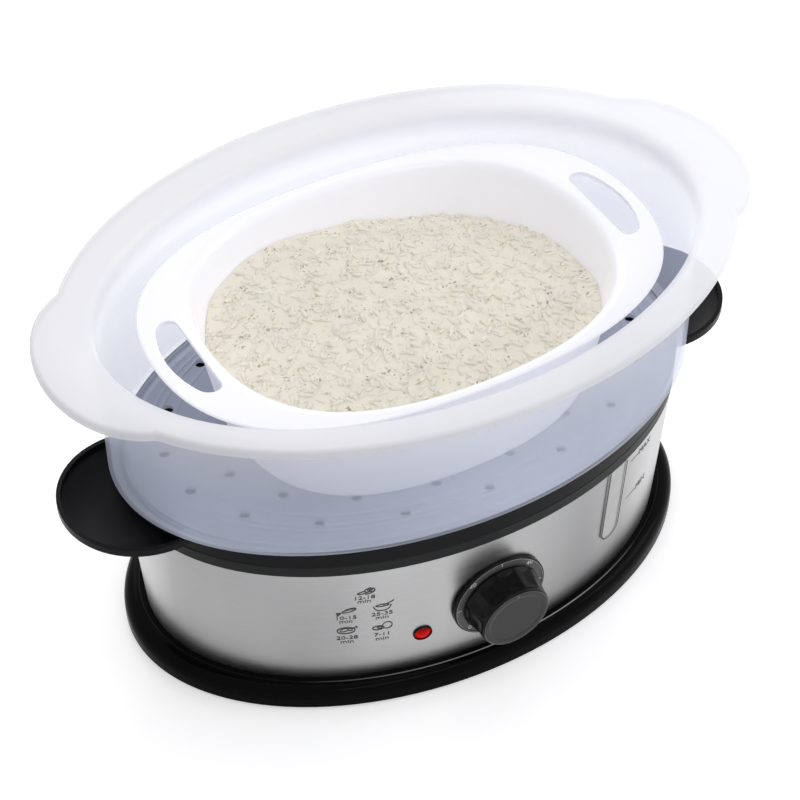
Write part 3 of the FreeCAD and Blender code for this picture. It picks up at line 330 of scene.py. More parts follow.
DARK_PLASTICS = (                      # name, shade, roughness, grain, depth of the grain, shine
    ("gloss_black", (0.002, 0.002, 0.0025), 0.12, 700.0, 0.00001, 0.03),
    ("rim_black", (0.014, 0.015, 0.0155), 0.36, 1200.0, 0.00003, 0.1),
    ("tray_black", (0.006, 0.006, 0.0075), 0.30, 1200.0, 0.00002, 0.07),
    ("satin_black", (0.002, 0.0018, 0.0018), 0.22, 1200.0, 0.00002, 0.12),
    # the knob's front: its own black plastic painted lighter grey, as painted light from the front
    ("knob_front_painted_light", (0.040, 0.037, 0.039), 0.34, 1600.0, 0.00002, 0.15),
    ("bezel_olive", (0.006, 0.005, 0.003), 0.35, 1200.0, 0.00002, 0.1),
    ("dial_grey", (0.112, 0.107, 0.112), 0.42, 1600.0, 0.00003, 0.3),
)
FINISHES = {
    "black_rubber": moulded("black_rubber", (0.018, 0.018, 0.018), 0.75, 1500.0, 0.00008),
    # grey for the painted highlight ring round the knob's disc
    "painted_soft_highlight": moulded("painted_soft_highlight", (0.16, 0.16, 0.165), 0.35, 1200.0, 0.00001),
    "painted_highlight_bead": painted_highlight_bead(),
    "grey_plastic": moulded("grey_plastic", (0.22, 0.22, 0.22), 0.5),
    # the bowl's white plastic has a faint painted glow (Emission), standing in for light on its inside
    "white_plastic": moulded(
        "white_plastic", (0.81, 0.81, 0.86), 0.24, 500.0, 0.00001, 0.012,
        Emission_Color=colour(0.95, 0.95, 1.0), Emission_Strength=0.22,
    ),
    "ink": moulded("ink", (0.035, 0.035, 0.035), 0.55),
    "pale_ink": moulded("pale_ink", (0.80, 0.80, 0.80), 0.5),
    "faint_ink": moulded("faint_ink", (0.20, 0.17, 0.17), 0.5),
    "bright_edge": moulded("bright_edge", (0.62, 0.62, 0.62), 0.3),
    "wire_jacket": moulded("wire_jacket", (0.55, 0.53, 0.48), 0.5),
    "zinc_steel": worked_metal("zinc_steel", (0.62, 0.62, 0.60), 0.35),
    "heater_tube": worked_metal("heater_tube", (0.42, 0.38, 0.33), 0.42, (1.0, 1.0, 3.0), 300.0),
    "brass_tabs": worked_metal("brass_tabs", (0.78, 0.60, 0.30), 0.30),
    "fuse_can": worked_metal("fuse_can", (0.70, 0.68, 0.64), 0.28),
    "brushed_shell": brushed_steel(),
    "clouded_plastic": clouded_plastic(),
    "rice_grain": boiled_rice("rice_grain", (0.85, 0.81, 0.71), (0.80, 0.75, 0.635)),
    # the heap beneath the grains is a little darker than the grains: painted shade
    "rice_depth": boiled_rice("rice_depth", (0.835, 0.79, 0.69), (0.785, 0.735, 0.62)),
    "red_lens": red_lens(),
    "clear_window": clear_plastic(),
}
for name, shade, roughness, grain, depth, shine in DARK_PLASTICS:
    FINISHES[name] = moulded(name, shade, roughness, grain, depth, Specular_IOR_Level=shine)


# ---- modelling helpers ----------------------------------------------------------------
def select_only(*pieces):
    bpy.ops.object.select_all(action="DESELECT")
    for piece in pieces:
        piece.select_set(True)
    bpy.context.view_layer.objects.active = pieces[0]


def begin_edit(piece):
    select_only(piece)
    bpy.ops.object.mode_set(mode="EDIT")
    bpy.ops.mesh.select_all(action="SELECT")


def end_edit():
    bpy.ops.object.mode_set(mode="OBJECT")


def smooth(piece, degrees=35.0):
    select_only(piece)
    bpy.ops.object.shade_smooth_by_angle(angle=math.radians(degrees))


def apply_modifier(piece, kind, **settings):
    select_only(piece)
    modifier = piece.modifiers.new(kind.lower(), kind)
    for key, value in settings.items():
        setattr(modifier, key, value)
    bpy.ops.object.modifier_apply(modifier=modifier.name)


def soften(piece, width, segments=3, degrees=35.0):
    """Rounds the sharp edges of a piece."""
    apply_modifier(
        piece, "BEVEL", width=width, segments=segments, limit_method="ANGLE",
        angle_limit=math.radians(degrees), use_clamp_overlap=True,
    )


def join(name, pieces):
    select_only(*pieces)
    if len(pieces) > 1:
        bpy.ops.object.join()
    piece = bpy.context.view_layer.objects.active
    piece.name = name
    piece.data.name = name
    return piece


def seat(piece, place):
    """Moves a piece modelled round the origin to its place and leaves that in its mesh."""
    select_only(piece)
    piece.matrix_world = place @ piece.matrix_world
    bpy.ops.object.transform_apply(location=True, rotation=True, scale=True)
    return piece


def dress(piece, finish, body, replaced=()):
    piece.data.materials.clear()
    piece.data.materials.append(FINISHES[finish])
    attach(piece, body)
    if replaced:
        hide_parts(*replaced)
    return piece


def refined(node, name, finish, degrees=32.0):
    """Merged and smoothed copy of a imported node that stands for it."""
    source = frame["nodes"][node]
    piece = source.copy()
    piece.data = source.data.copy()
    piece.parent = None
    for key in list(piece.keys()):
        del piece[key]
    bpy.context.scene.collection.objects.link(piece)
    piece.name = name
    piece.data.name = name
    begin_edit(piece)
    bpy.ops.mesh.remove_doubles(threshold=0.000005)
    end_edit()
    if piece.data.has_custom_normals:
        bpy.ops.mesh.customdata_custom_splitnormals_clear()
    smooth(piece, degrees)
    return dress(piece, finish, source["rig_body"], (node,))


BOWL_FULLNESS = 1.22                   # 1 is an ellipse, more is squarer


def first_oval(fullness):
    """Level ring of unit size in millimetres, as edges: a circle, or an oval with fuller corners."""
    bpy.ops.object.select_all(action="DESELECT")
    if fullness == 1.0:
        bpy.ops.mesh.primitive_circle_add(vertices=128, radius=MM)
        return bpy.context.object
    bpy.ops.curve.primitive_bezier_circle_add(radius=MM)
    curve = bpy.context.object.data
    curve.resolution_u = 32
    for point in curve.splines[0].bezier_points:
        point.handle_left_type = point.handle_right_type = "FREE"
        point.handle_left = point.co + (point.handle_left - point.co) * fullness
        point.handle_right = point.co + (point.handle_right - point.co) * fullness
    bpy.ops.object.convert(target="MESH")
    return bpy.context.object


def oval_stack(name, rows, fullness=1.0):
    """Closed piece through level ovals of (half length, half width, height) in millimetres."""
    piece = first_oval(fullness)
    piece.name = name
    piece.data.name = name
    begin_edit(piece)
    last_a, last_b, last_z = 1.0, 1.0, 0.0
    for index, (a, b, z) in enumerate(rows):
        if index:
            bpy.ops.mesh.extrude_region_move(TRANSFORM_OT_translate={"value": (0, 0, (z - last_z) * MM)})
        else:
            bpy.ops.transform.translate(value=(0, 0, z * MM))
        bpy.ops.transform.resize(value=(a / last_a, b / last_b, 1), center_override=(0, 0, 0))
        last_a, last_b, last_z = a, b, z
    bpy.ops.mesh.select_all(action="SELECT")
    bpy.ops.mesh.fill_holes(sides=0)
    bpy.ops.mesh.select_all(action="SELECT")
    bpy.ops.mesh.normals_make_consistent(inside=False)
    end_edit()
    return piece


# ---- the shell's surface --------------------------------------------------------------
GAUGE_X, GAUGE_W, GAUGE_BOTTOM, GAUGE_MIDDLE = 73.5, 14.0, 42.5, 69.0
SHELL_LOW = (148.6, 98.9, 12.0)        # half length, half width and height, in millimetres
SHELL_HIGH = (154.6, 103.7, 96.0)


def shell_slope():
    """How much the shell's half length and half width grow per unit of height."""
    rise = SHELL_HIGH[2] - SHELL_LOW[2]
    return (SHELL_HIGH[0] - SHELL_LOW[0]) / rise, (SHELL_HIGH[1] - SHELL_LOW[1]) / rise


def panel_place(x, z, proud=0.0):
    """Where a small flat piece lies on the control side: local Z out, local X to the right."""
    share = (z - SHELL_LOW[2]) / (SHELL_HIGH[2] - SHELL_LOW[2])
    a = SHELL_LOW[0] + (SHELL_HIGH[0] - SHELL_LOW[0]) * share
    b = SHELL_LOW[1] + (SHELL_HIGH[1] - SHELL_LOW[1]) * share
    lean_a, lean_b = shell_slope()
    y = -b * math.sqrt(1 - (x / a) ** 2)
    out = Vector((x / a**2, y / b**2, -lean_a * x**2 / a**3 - lean_b * y**2 / b**3)).normalized()
    right = Vector((0, 0, 1)).cross(out).normalized()
    top = out.cross(right)
    spot = (Vector((x, y, z)) + out * proud) * MM
    turn = Matrix((right, top, out)).transposed().to_4x4()
    return Matrix.Translation(spot) @ turn


KNOB_X, KNOB_Z = -2.5, 52.0
KNOB_PLACE = panel_place(KNOB_X, KNOB_Z)


def turned(name, profile, steps=96):
    """Closed round piece about Z from a profile of (radius, height) in millimetres."""
    first_r, first_z = profile[0]
    bpy.ops.object.select_all(action="DESELECT")
    bpy.ops.mesh.primitive_circle_add(vertices=steps, radius=first_r * MM, location=(0, 0, first_z * MM))
    piece = bpy.context.object
    piece.name = name
    begin_edit(piece)
    last_r, last_z = first_r, first_z
    for r, z in profile[1:]:
        bpy.ops.mesh.extrude_region_move(TRANSFORM_OT_translate={"value": (0, 0, (z - last_z) * MM)})
        bpy.ops.transform.resize(value=(r / last_r, r / last_r, 1), center_override=(0, 0, 0))
        last_r, last_z = r, z
    bpy.ops.mesh.select_all(action="SELECT")
    bpy.ops.mesh.fill_holes(sides=0)
    bpy.ops.mesh.select_all(action="SELECT")
    bpy.ops.mesh.normals_make_consistent(inside=False)
    end_edit()
    select_only(piece)
    bpy.ops.object.transform_apply(location=True, rotation=True, scale=True)
    return piece


# ---- base -----------------------------------------------------------------------------
GAUGE_LINES = (                        # name, finish, inset from the window's side, width
    ("gauge_edge", "ink", 0.0, 0.75),
    ("gauge_line", "bright_edge", 0.9, 0.45),
)
GAUGE_PROUD = 0.75                     # how far the lines stand off the shell
GAUGE_STEPS = 10                       # straight steps round the window's lower end


def make_gauge():
    """Clear window with a dark edge and a bright line inside it."""
    refined("gauge_window", "gauge", "clear_window")
    top = SHELL_HIGH[2] - GAUGE_MIDDLE
    centre = GAUGE_BOTTOM + GAUGE_W / 2 - GAUGE_MIDDLE
    turns = [math.pi + math.pi * i / GAUGE_STEPS for i in range(GAUGE_STEPS + 1)]
    for name, finish, inset, width in GAUGE_LINES:
        half = GAUGE_W / 2 - inset
        lower_end = [(half * math.cos(t), centre + half * math.sin(t)) for t in turns]
        line = outline(name, [(-half, top), *lower_end, (half, top)], False, width, 2)
        seat(line, panel_place(GAUGE_X, GAUGE_MIDDLE, GAUGE_PROUD))
        dress(line, finish, "root")


PLAIN_OVAL_RISES = (-8.0, 92.0)        # the plain oval's ends, from the shell's lower edge
OUTSIDE_REACH = 0.995                  # past this share of the oval, squared, a point is on the outside


def even_shading(shell):
    """Gives the shell's outside the smooth shading of a plain oval, also round its holes."""
    low_a, low_b, low_z = SHELL_LOW
    slope_a, slope_b = shell_slope()
    rows = [(low_a + slope_a * rise, low_b + slope_b * rise, low_z + rise) for rise in PLAIN_OVAL_RISES]
    plain = oval_stack("plain_oval", rows)
    smooth(plain, 60.0)
    outside = shell.vertex_groups.new(name="outside")
    for vertex in shell.data.vertices:
        x, y, z = vertex.co / MM
        a, b = low_a + slope_a * (z - low_z), low_b + slope_b * (z - low_z)
        if (x / a) ** 2 + (y / b) ** 2 > OUTSIDE_REACH:
            outside.add([vertex.index], 1.0, "REPLACE")
    apply_modifier(
        shell, "DATA_TRANSFER", object=plain, use_loop_data=True, data_types_loops={"CUSTOM_NORMAL"},
        loop_mapping="POLYINTERP_NEAREST", vertex_group="outside")
    bpy.data.objects.remove(plain)


BEAD_A, BEAD_B, BEAD_Z, BEAD_W = 151.9, 102.2, 14.5, 0.8


def make_base():
    refined("rubber_feet", "feet", "black_rubber")
    refined("base_foot", "foot", "gloss_black", 40.0)
    even_shading(refined("steel_shell", "shell", "brushed_shell"))
    # thin ring on the foot's bead that carries a painted highlight
    bead = outline("painted_bead_highlight", oval_points(0, 0, BEAD_A, BEAD_B, 0.0, 144), True, BEAD_W, 2)
    seat(bead, Matrix.Translation((0, 0, BEAD_Z * MM)))
    dress(bead, "painted_highlight_bead", "root")
    refined("water_reservoir", "tank", "rim_black", 30.0)
    refined("cord_gland", "gland", "satin_black")
    make_gauge()


def make_tray():
    refined("drip_tray", "tray", "tray_black", 35.0)


def make_basket():
    refined("steam_basket", "basket", "clouded_plastic", 40.0)


# ---- bowl -----------------------------------------------------------------------------
BOWL_TOP = 187.0
SLOT_OUTER_X, SLOT_INNER_X, SLOT_HALF = 130.0, 113.0, 28.4
SLOT_BEND, SLOT_ROUND = 7.5, 4.6


SLOT_CUT_H, SLOT_DISC_H = 30.0, 40.0   # heights of the two shapes that meet in a slot


def slot_cutter(side):
    """Bar for a handle slot: straight inside, curved outside, with round corners."""
    length = SLOT_OUTER_X - SLOT_INNER_X
    bpy.ops.mesh.primitive_cube_add(size=1.0)
    bar_piece = bpy.context.object
    bar_piece.scale = (length * MM, 2 * SLOT_HALF * MM, SLOT_CUT_H * MM)
    bar_piece.location = ((SLOT_INNER_X + length / 2) * MM, 0, BOWL_TOP * MM)
    bpy.ops.object.transform_apply(location=True, rotation=True, scale=True)
    bend = (SLOT_HALF**2 + SLOT_BEND**2) / (2 * SLOT_BEND)
    bpy.ops.mesh.primitive_cylinder_add(
        vertices=48, radius=bend * MM, depth=SLOT_DISC_H * MM,
        location=((SLOT_OUTER_X - bend) * MM, 0, BOWL_TOP * MM))
    disc = bpy.context.object
    apply_modifier(bar_piece, "BOOLEAN", operation="INTERSECT", object=disc, solver="EXACT")
    bpy.data.objects.remove(disc)
    soften(bar_piece, SLOT_ROUND * MM, 8, 40.0)
    if side < 0:
        seat(bar_piece, Matrix.Rotation(math.pi, 4, "Z"))
    return bar_piece


BOWL_ROWS = (                          # outside from the foot up, round the rim and down inside
    (84.0, 61.0, 114.5), (91.5, 68.5, 114.6), (94.4, 71.4, 115.8), (96.1, 73.1, 119.5),
    (108.0, 83.9, 180.5), (109.3, 84.9, 183.4), (111.4, 86.0, 184.7), (114.5, 86.8, 184.8),
    (134.9, 88.4, 184.8), (136.0, 89.0, 185.1), (136.5, 89.5, 185.8), (136.4, 89.4, 186.4),
    (135.8, 88.9, 186.85), (134.9, 88.2, BOWL_TOP), (113.5, 86.9, BOWL_TOP), (110.8, 85.7, 186.75),
    (108.7, 84.2, 186.0), (107.2, 82.9, 184.6), (106.2, 81.9, 182.3), (105.4, 81.1, 178.5),
    (94.3, 71.3, 123.5), (93.0, 70.0, 119.2), (90.4, 67.4, 117.2), (84.0, 61.0, 116.7),
)


def make_bowl():
    """White bowl whose wide rim rolls softly into the wall."""
    bowl = oval_stack("bowl", BOWL_ROWS, BOWL_FULLNESS)
    for side in (-1, 1):
        cutter = slot_cutter(side)
        apply_modifier(bowl, "BOOLEAN", operation="DIFFERENCE", object=cutter, solver="EXACT")
        bpy.data.objects.remove(cutter)
    smooth(bowl, 40.0)
    apply_modifier(bowl, "WEIGHTED_NORMAL", keep_sharp=True)
    dress(bowl, "white_plastic", "rice_bowl", replaced=("rice_bowl",))


# ---- dial, knob and lamp --------------------------------------------------------------
CAPITAL_SHARE = 0.72                   # a capital's height as a share of the letter size


def flat_text(words, height, name, boldness=0.0, thickness=0.05):
    """Small printed words as a thin mesh, centred on the origin."""
    bpy.ops.object.select_all(action="DESELECT")
    bpy.ops.object.text_add()
    piece = bpy.context.object
    piece.data.body = words
    piece.data.size = height * MM / CAPITAL_SHARE
    piece.data.align_x = "CENTER"
    piece.data.align_y = "CENTER"
    piece.data.extrude = thickness / 2 * MM
    piece.data.offset = boldness * MM
    piece.data.resolution_u = 3
    bpy.ops.object.convert(target="MESH")
    piece = bpy.context.object
    piece.name = name
    return piece


def bar(name, length, width, thickness=0.05):
    """Thin flat bar along X, centred on the origin, with rounded ends."""
    bpy.ops.object.select_all(action="DESELECT")
    bpy.ops.mesh.primitive_cube_add(size=1.0)
    piece = bpy.context.object
    piece.name = name
    piece.scale = (length * MM, width * MM, thickness * MM)
    bpy.ops.object.transform_apply(location=False, rotation=False, scale=True)
    apply_modifier(
        piece, "BEVEL", width=0.45 * width * MM, segments=3, affect="EDGES", limit_method="ANGLE",
        angle_limit=math.radians(60))
    return piece


def polar(radius, degrees, height):
    """A spot on the dial, turned so that its top points outwards."""
    turn = Matrix.Rotation(math.radians(degrees - 90), 4, "Z")
    return turn @ Matrix.Translation(Vector((0, radius * MM, height * MM)))


DIAL_R, DIAL_TOP = 26.3, 2.0
DIAL_LIP_R = 25.3                      # where the ring's rounded top falls to the face
FACE_R, FACE_TOP, FACE_BOTTOM = 25.2, 1.5, 0.45
SHAFT_HOLE_R = 3.5
MARK_R, MARK_Z = 23.4, 1.54
TICKS = (180, 90, 0)                   # degrees from the dial's right-hand side
NUMBERS = ((225, "0"), (135, "20"), (45, "40"), (-45, "60"))
THIN_LINE = 0.22


def make_dial():
    ring = turned("dial_ring", [
        (DIAL_R, 0.0), (DIAL_R, 1.3), (26.2, 1.65), (26.0, 1.9), (25.75, DIAL_TOP), (25.5, 1.95),
        (25.35, 1.8), (DIAL_LIP_R, FACE_TOP), (DIAL_LIP_R, 0.4), (3.4, 0.4), (3.4, 0.0),
    ])
    seat(ring, KNOB_PLACE)
    smooth(ring, 50.0)
    dress(ring, "satin_black", "root", ("dial_plate",))
    # thin pale ring at the dial's lip: partly a pale ring of the dial, partly a painted highlight
    line = outline("dial_line", oval_points(0, 0, DIAL_LIP_R, DIAL_LIP_R, 0.0, 72), True, THIN_LINE, 2)
    seat(line, KNOB_PLACE @ Matrix.Translation((0, 0, DIAL_TOP * MM)))
    dress(line, "bright_edge", "root")
    face = turned("dial_face", [
        (FACE_R, FACE_BOTTOM), (FACE_R, FACE_TOP), (SHAFT_HOLE_R, FACE_TOP), (SHAFT_HOLE_R, FACE_BOTTOM),
    ])
    seat(face, KNOB_PLACE)
    smooth(face, 35.0)
    dress(face, "dial_grey", "root")
    marks = []
    for degrees in TICKS:
        tick = bar("tick", 0.4, 2.6)
        marks.append(seat(tick, polar(MARK_R, degrees, MARK_Z)))
    for degrees, words in NUMBERS:
        number = flat_text(words, 2.9, "number", 0.03)
        upright = polar(MARK_R, degrees, MARK_Z).translation
        marks.append(seat(number, Matrix.Translation(upright)))
    printed = join("dial_marks", marks)
    seat(printed, KNOB_PLACE)
    dress(printed, "pale_ink", "root")


KNOB_LOW_R, KNOB_LOW_Z = 21.6, 2.5     # lower and upper end of the knob's sloping side
KNOB_HIGH_R, KNOB_HIGH_Z = 19.3, 17.2
KNOB_STEPS = (3.1, 3.6, 4.2, 5.0, 6.5, 9.0, 11.5, 13.0, 14.2, 15.2, 16.0, 16.7, KNOB_HIGH_Z)
FLUTES, FLUTE_DEPTH = 12, 1.2
FLUTE_LOW, FLUTE_HIGH = (3.4, 5.4), (16.6, 12.6)   # heights where the flutes end, and where they are full
FLUTE_WIDTH = 1.3                      # a higher power makes the flutes narrower
FLUTED_R = 18.9                        # only what lies further out is fluted
KNOB_EDGE_R, KNOB_EDGE_Z = 18.45, 18.4
POINTER_R, POINTER_Z = 16.8, 18.44


def eased(value):
    value = min(1.0, max(0.0, value))
    return value * value * (3 - 2 * value)


def flute_share(z):
    """How much of their depth the flutes have at a height."""
    (low_end, low_full), (high_end, high_full) = FLUTE_LOW, FLUTE_HIGH
    return eased((z - low_end) / (low_full - low_end)) * eased((z - high_end) / (high_full - high_end))


def make_knob():
    """Grip with broad soft flutes between a plain skirt and a plain disc with a shallow dish."""
    lean = (KNOB_LOW_R - KNOB_HIGH_R) / (KNOB_HIGH_Z - KNOB_LOW_Z)
    side = [(KNOB_LOW_R - lean * (z - KNOB_LOW_Z), z) for z in KNOB_STEPS]
    knob = turned("knob", [
        (3.1, KNOB_LOW_Z), (21.2, KNOB_LOW_Z), *side,
        (19.2, 17.6), (18.95, 18.0), (18.6, 18.25), (17.7, 18.3),
        (15.6, 18.1), (14.8, 18.0), (14.0, 17.7), (12.6, 17.4), (9.0, 17.2), (4.0, 17.1),
    ], 144)
    for vertex in knob.data.vertices:
        x, y, z = vertex.co / MM
        reach = math.hypot(x, y)
        if reach > FLUTED_R:
            scallop = abs(math.cos(FLUTES / 2 * math.atan2(y, x))) ** FLUTE_WIDTH
            share = 1 - FLUTE_DEPTH * scallop * flute_share(z) / reach
            vertex.co.x *= share
            vertex.co.y *= share
    seat(knob, KNOB_PLACE)
    smooth(knob, 60.0)
    dress(knob, "satin_black", "timer_knob", replaced=("timer_knob",))
    # thin grey ring round the disc's edge: a painted highlight
    edge = outline("painted_knob_edge_highlight", oval_points(0, 0, KNOB_EDGE_R, KNOB_EDGE_R, 0.0, 72), True, THIN_LINE, 2)
    seat(edge, KNOB_PLACE @ Matrix.Translation((0, 0, KNOB_EDGE_Z * MM)))
    dress(edge, "painted_soft_highlight", "timer_knob")
    disc = turned("knob_disc", [
        (18.35, 18.2), (18.35, 18.4), (17.7, 18.5), (15.6, 18.35), (14.8, 18.2), (14.0, 17.85),
        (12.6, 17.55), (9.0, 17.35), (4.0, 17.25), (4.0, 17.0), (14.0, 17.6),
    ])
    seat(disc, KNOB_PLACE)
    smooth(disc, 45.0)
    # lighter than the black sides: painted light
    dress(disc, "knob_front_painted_light", "timer_knob")
    pointer = bar("knob_pointer", 0.6, 1.5, 0.12)
    seat(pointer, KNOB_PLACE @ polar(POINTER_R, 90, POINTER_Z))
    dress(pointer, "faint_ink", "timer_knob")


def make_lamp():
    refined("lamp_bezel", "bezel", "bezel_olive")
    refined("lamp_lens", "lens", "red_lens")


# ---- prints on the shell --------------------------------------------------------------
def outline(name, points, closed=True, width=0.55, roundness=1):
    """Thin drawn line through points in millimetres, as a flat mesh ribbon."""
    curve = bpy.data.curves.new(name, "CURVE")
    curve.dimensions = "2D"
    curve.resolution_u = 6
    curve.fill_mode = "NONE"
    spline = curve.splines.new("NURBS")
    spline.points.add(len(points) - 1)
    for point, (x, y) in zip(spline.points, points):
        point.co = (x * MM, y * MM, 0.0, 1.0)
    spline.order_u = 3
    spline.use_cyclic_u = closed
    spline.use_endpoint_u = not closed
    curve.dimensions = "3D"
    curve.bevel_depth = width / 2 * MM
    curve.bevel_resolution = roundness
    curve.use_fill_caps = True
    piece = bpy.data.objects.new(name, curve)
    bpy.context.scene.collection.objects.link(piece)
    select_only(piece)
    bpy.ops.object.convert(target="MESH")
    piece = bpy.context.object
    piece.scale = (1.0, 1.0, 0.3)
    bpy.ops.object.transform_apply(location=False, rotation=False, scale=True)
    return piece


def oval_points(cx, cy, a, b, turn=0.0, count=12):
    points = []
    for i in range(count):
        t = 2 * math.pi * i / count
        x, y = a * math.cos(t), b * math.sin(t)
        c, s = math.cos(turn), math.sin(turn)
        points.append((cx + x * c - y * s, cy + x * s + y * c))
    return points


def carrots():
    leaves = [outline("leaf", oval_points(1.2 + 1.2 * i, 0.7 + 0.4 * (i % 2), 1.1, 1.0)) for i in range(3)]
    root = outline("root", [(0.4, 1.0), (-4.6, -1.0), (0.8, -0.8)])
    tray = outline("tray", [(0.2, -1.2), (4.4, -1.0), (4.8, 1.0)], False)
    return leaves + [root, tray]


def fish():
    return [
        outline("body", [(-2.6, -1.0), (0.4, 1.2), (4.2, 1.6), (4.6, 0.5), (1.2, -0.8)]),
        outline("back", [(-2.2, -0.4), (1.0, 0.6), (4.0, 1.0)], False, 0.35),
        outline("tail", [(-2.4, -0.9), (-4.8, -1.0), (-3.8, -1.6), (-4.4, -2.6), (-2.6, -1.2)]),
    ]


def rice_dish():
    return [
        outline("dish", [(-4.2, 0.8), (-3.6, -1.4), (0.0, -2.2), (3.4, -1.4), (4.0, 0.8)], False, 0.55),
        outline("rim", [(-4.2, 0.8), (0.0, 0.2), (4.0, 0.8), (0.0, 1.8)]),
        outline("spoon", [(0.2, 1.0), (3.0, 1.8), (5.2, 3.0)], False, 0.5),
    ]


def drumstick():
    return [
        outline("dish", oval_points(-0.6, -0.2, 4.2, 1.8)),
        outline("leg", oval_points(-1.4, 0.1, 2.0, 0.9, 0.2, 8), width=0.5),
        outline("wing", oval_points(1.2, 0.2, 1.2, 0.6, -0.3, 8), width=0.4),
        outline("bone", [(2.0, 0.4), (3.4, 1.2), (4.6, 1.7), (4.4, 0.8)], False, 0.6),
    ]


def eggs():
    return [
        outline("egg", oval_points(2.2, 0.5, 2.3, 1.9), width=0.5),
        outline("half", oval_points(-2.0, -0.4, 2.7, 1.1), width=0.55),
        outline("yolk", oval_points(-1.4, -0.3, 1.2, 0.5, 0.0, 8), width=0.45),
    ]


FOOD_SPOTS = (                         # picture, x and height, minutes, heights of number and unit
    (carrots, -73.7, 81.0, "12-18", 76.7, 73.9),
    (fish, -82.0, 67.5, "10-15", 62.1, 59.2),
    (rice_dish, -64.8, 67.5, "25-35", 62.2, 59.2),
    (drumstick, -81.2, 52.3, "20-28", 46.1, 42.9),
    (eggs, -64.4, 51.7, "7-11", 45.5, 42.1),
)
LEVELS = (                             # height, ends of the line, word and the middle of the word
    (60.0, 85.8, 94.8, "MIN", 99.6),
    (89.5, 85.4, 93.1, "MAX", 98.4),
)
PICTURE_PROUD, WORD_PROUD = 0.05, 0.06
MINUTES_H, MINUTES_BOLD, LEVEL_WORD_H = 2.75, 0.02, 4.2
WIDE_LETTERS = Matrix.Diagonal((1.25, 1.0, 1.0, 1.0))
TALL_PICTURES = Matrix.Diagonal((1.1, 1.4, 1.0, 1.0))


def make_prints():
    prints = []
    for draw, x, z, words, number_z, unit_z in FOOD_SPOTS:
        picture = join("picture", draw())
        prints.append(seat(picture, panel_place(x, z, PICTURE_PROUD) @ TALL_PICTURES))
        for print_words, name, print_z in ((words, "minutes", number_z), ("min", "unit", unit_z)):
            printed = flat_text(print_words, MINUTES_H, name, MINUTES_BOLD)
            prints.append(seat(printed, panel_place(x, print_z, WORD_PROUD) @ WIDE_LETTERS))
    piece = join("cooking_times", prints)
    dress(piece, "ink", "root")
    levels = []
    for z, x0, x1, words, word_x in LEVELS:
        line = bar("level_line", x1 - x0, 0.4)
        levels.append(seat(line, panel_place((x0 + x1) / 2, z, PICTURE_PROUD)))
        printed = flat_text(words, LEVEL_WORD_H, "level_word")
        levels.append(seat(printed, panel_place(word_x, z, WORD_PROUD)))
    piece = join("level_marks", levels)
    dress(piece, "ink", "root")


# ---- rice -----------------------------------------------------------------------------
RICE_LOW = (93.5, 70.5, 121.7)         # half length, half width and height just above the bowl's heel
RICE_GROWTH = (0.199, 0.176)           # how fast the bowl's wall widens with height
RICE_POWER = 2.44                      # power of the oval that the bowl's outline is
RICE_MIDDLE = 168.0
RICE_PLANE = 160.0                     # level from which the heap's top is shaped
RICE_WALL_ROWS = (130.0, 140.0, 148.0)
RICE_TOP_SHARES = (1.0, 0.985, 0.96, *(0.92 - 0.06 * i for i in range(15)))
GRAIN_RADII = (1.35, 1.15, 3.4)
GRAIN_BEND = 0.035
GRAIN_PITCH, GRAIN_WANDER, GRAIN_TILT = 3.1, 1.5, 0.16
GRAIN_SIZES, GRAIN_LIFTS = (0.8, 1.15), (-1.7, -0.15)
GRAIN_REACH = 0.985                    # grains stay this share inside the bowl's wall
# height of the rice along the wall, by the turn from the right-hand end
RICE_EDGE = ((-60, 160.0), (-18, 161.2), (9, 157.6), (36, 153.4), (62, 155.0), (85, 163.0), (112, 167.8),
             (134, 165.3), (155, 156.4), (185, 158.5), (225, 162.0), (262, 161.0), (300, 160.0))


def wall_reach(z):
    """Half length and half width of the rice where it meets the bowl's wall at a height."""
    rise = z - RICE_LOW[2]
    return RICE_LOW[0] + RICE_GROWTH[0] * rise, RICE_LOW[1] + RICE_GROWTH[1] * rise


def edge_height(turn):
    degrees = (math.degrees(turn) + 60.0) % 360.0 - 60.0
    for (low, low_z), (high, high_z) in zip(RICE_EDGE, RICE_EDGE[1:]):
        if degrees <= high:
            share = (degrees - low) / (high - low)
            return low_z + (high_z - low_z) * share * share * (3 - 2 * share)
    return RICE_EDGE[-1][1]


def rice_height(x, y):
    """Height of the heap, and how far out the spot is from its middle."""
    a, b = wall_reach(RICE_PLANE)
    reach = (abs(x / a) ** RICE_POWER + abs(y / b) ** RICE_POWER) ** (1 / RICE_POWER)
    edge = edge_height(math.atan2(y / b, x / a))
    lump = 1.6 * noise.noise(Vector((x, y, 0.0)) / 17.0) + 0.9 * noise.noise(Vector((x, y, 50.0)) / 6.5)
    inner = max(0.0, 1 - reach * reach)
    return edge + (RICE_MIDDLE - edge) * inner**0.8 + lump * (0.4 + 0.6 * min(1.0, 4 * inner)), reach


def make_grain():
    """One boiled grain, long, plump and slightly bent."""
    bpy.ops.object.select_all(action="DESELECT")
    bpy.ops.mesh.primitive_uv_sphere_add(segments=6, ring_count=6, radius=1.0)
    grain = bpy.context.object
    begin_edit(grain)
    bpy.ops.transform.resize(value=[radius * MM for radius in GRAIN_RADII], center_override=(0, 0, 0))
    bpy.ops.transform.rotate(value=math.radians(90), orient_axis="Y", center_override=(0, 0, 0))
    end_edit()
    for vertex in grain.data.vertices:
        vertex.co.z -= GRAIN_BEND * (vertex.co.x / MM) ** 2 * MM
    return grain


def set_tone(mesh, tone):
    shade = mesh.attributes.new("tone", "FLOAT", "POINT")
    shade.data.foreach_set("value", [tone] * len(mesh.vertices))


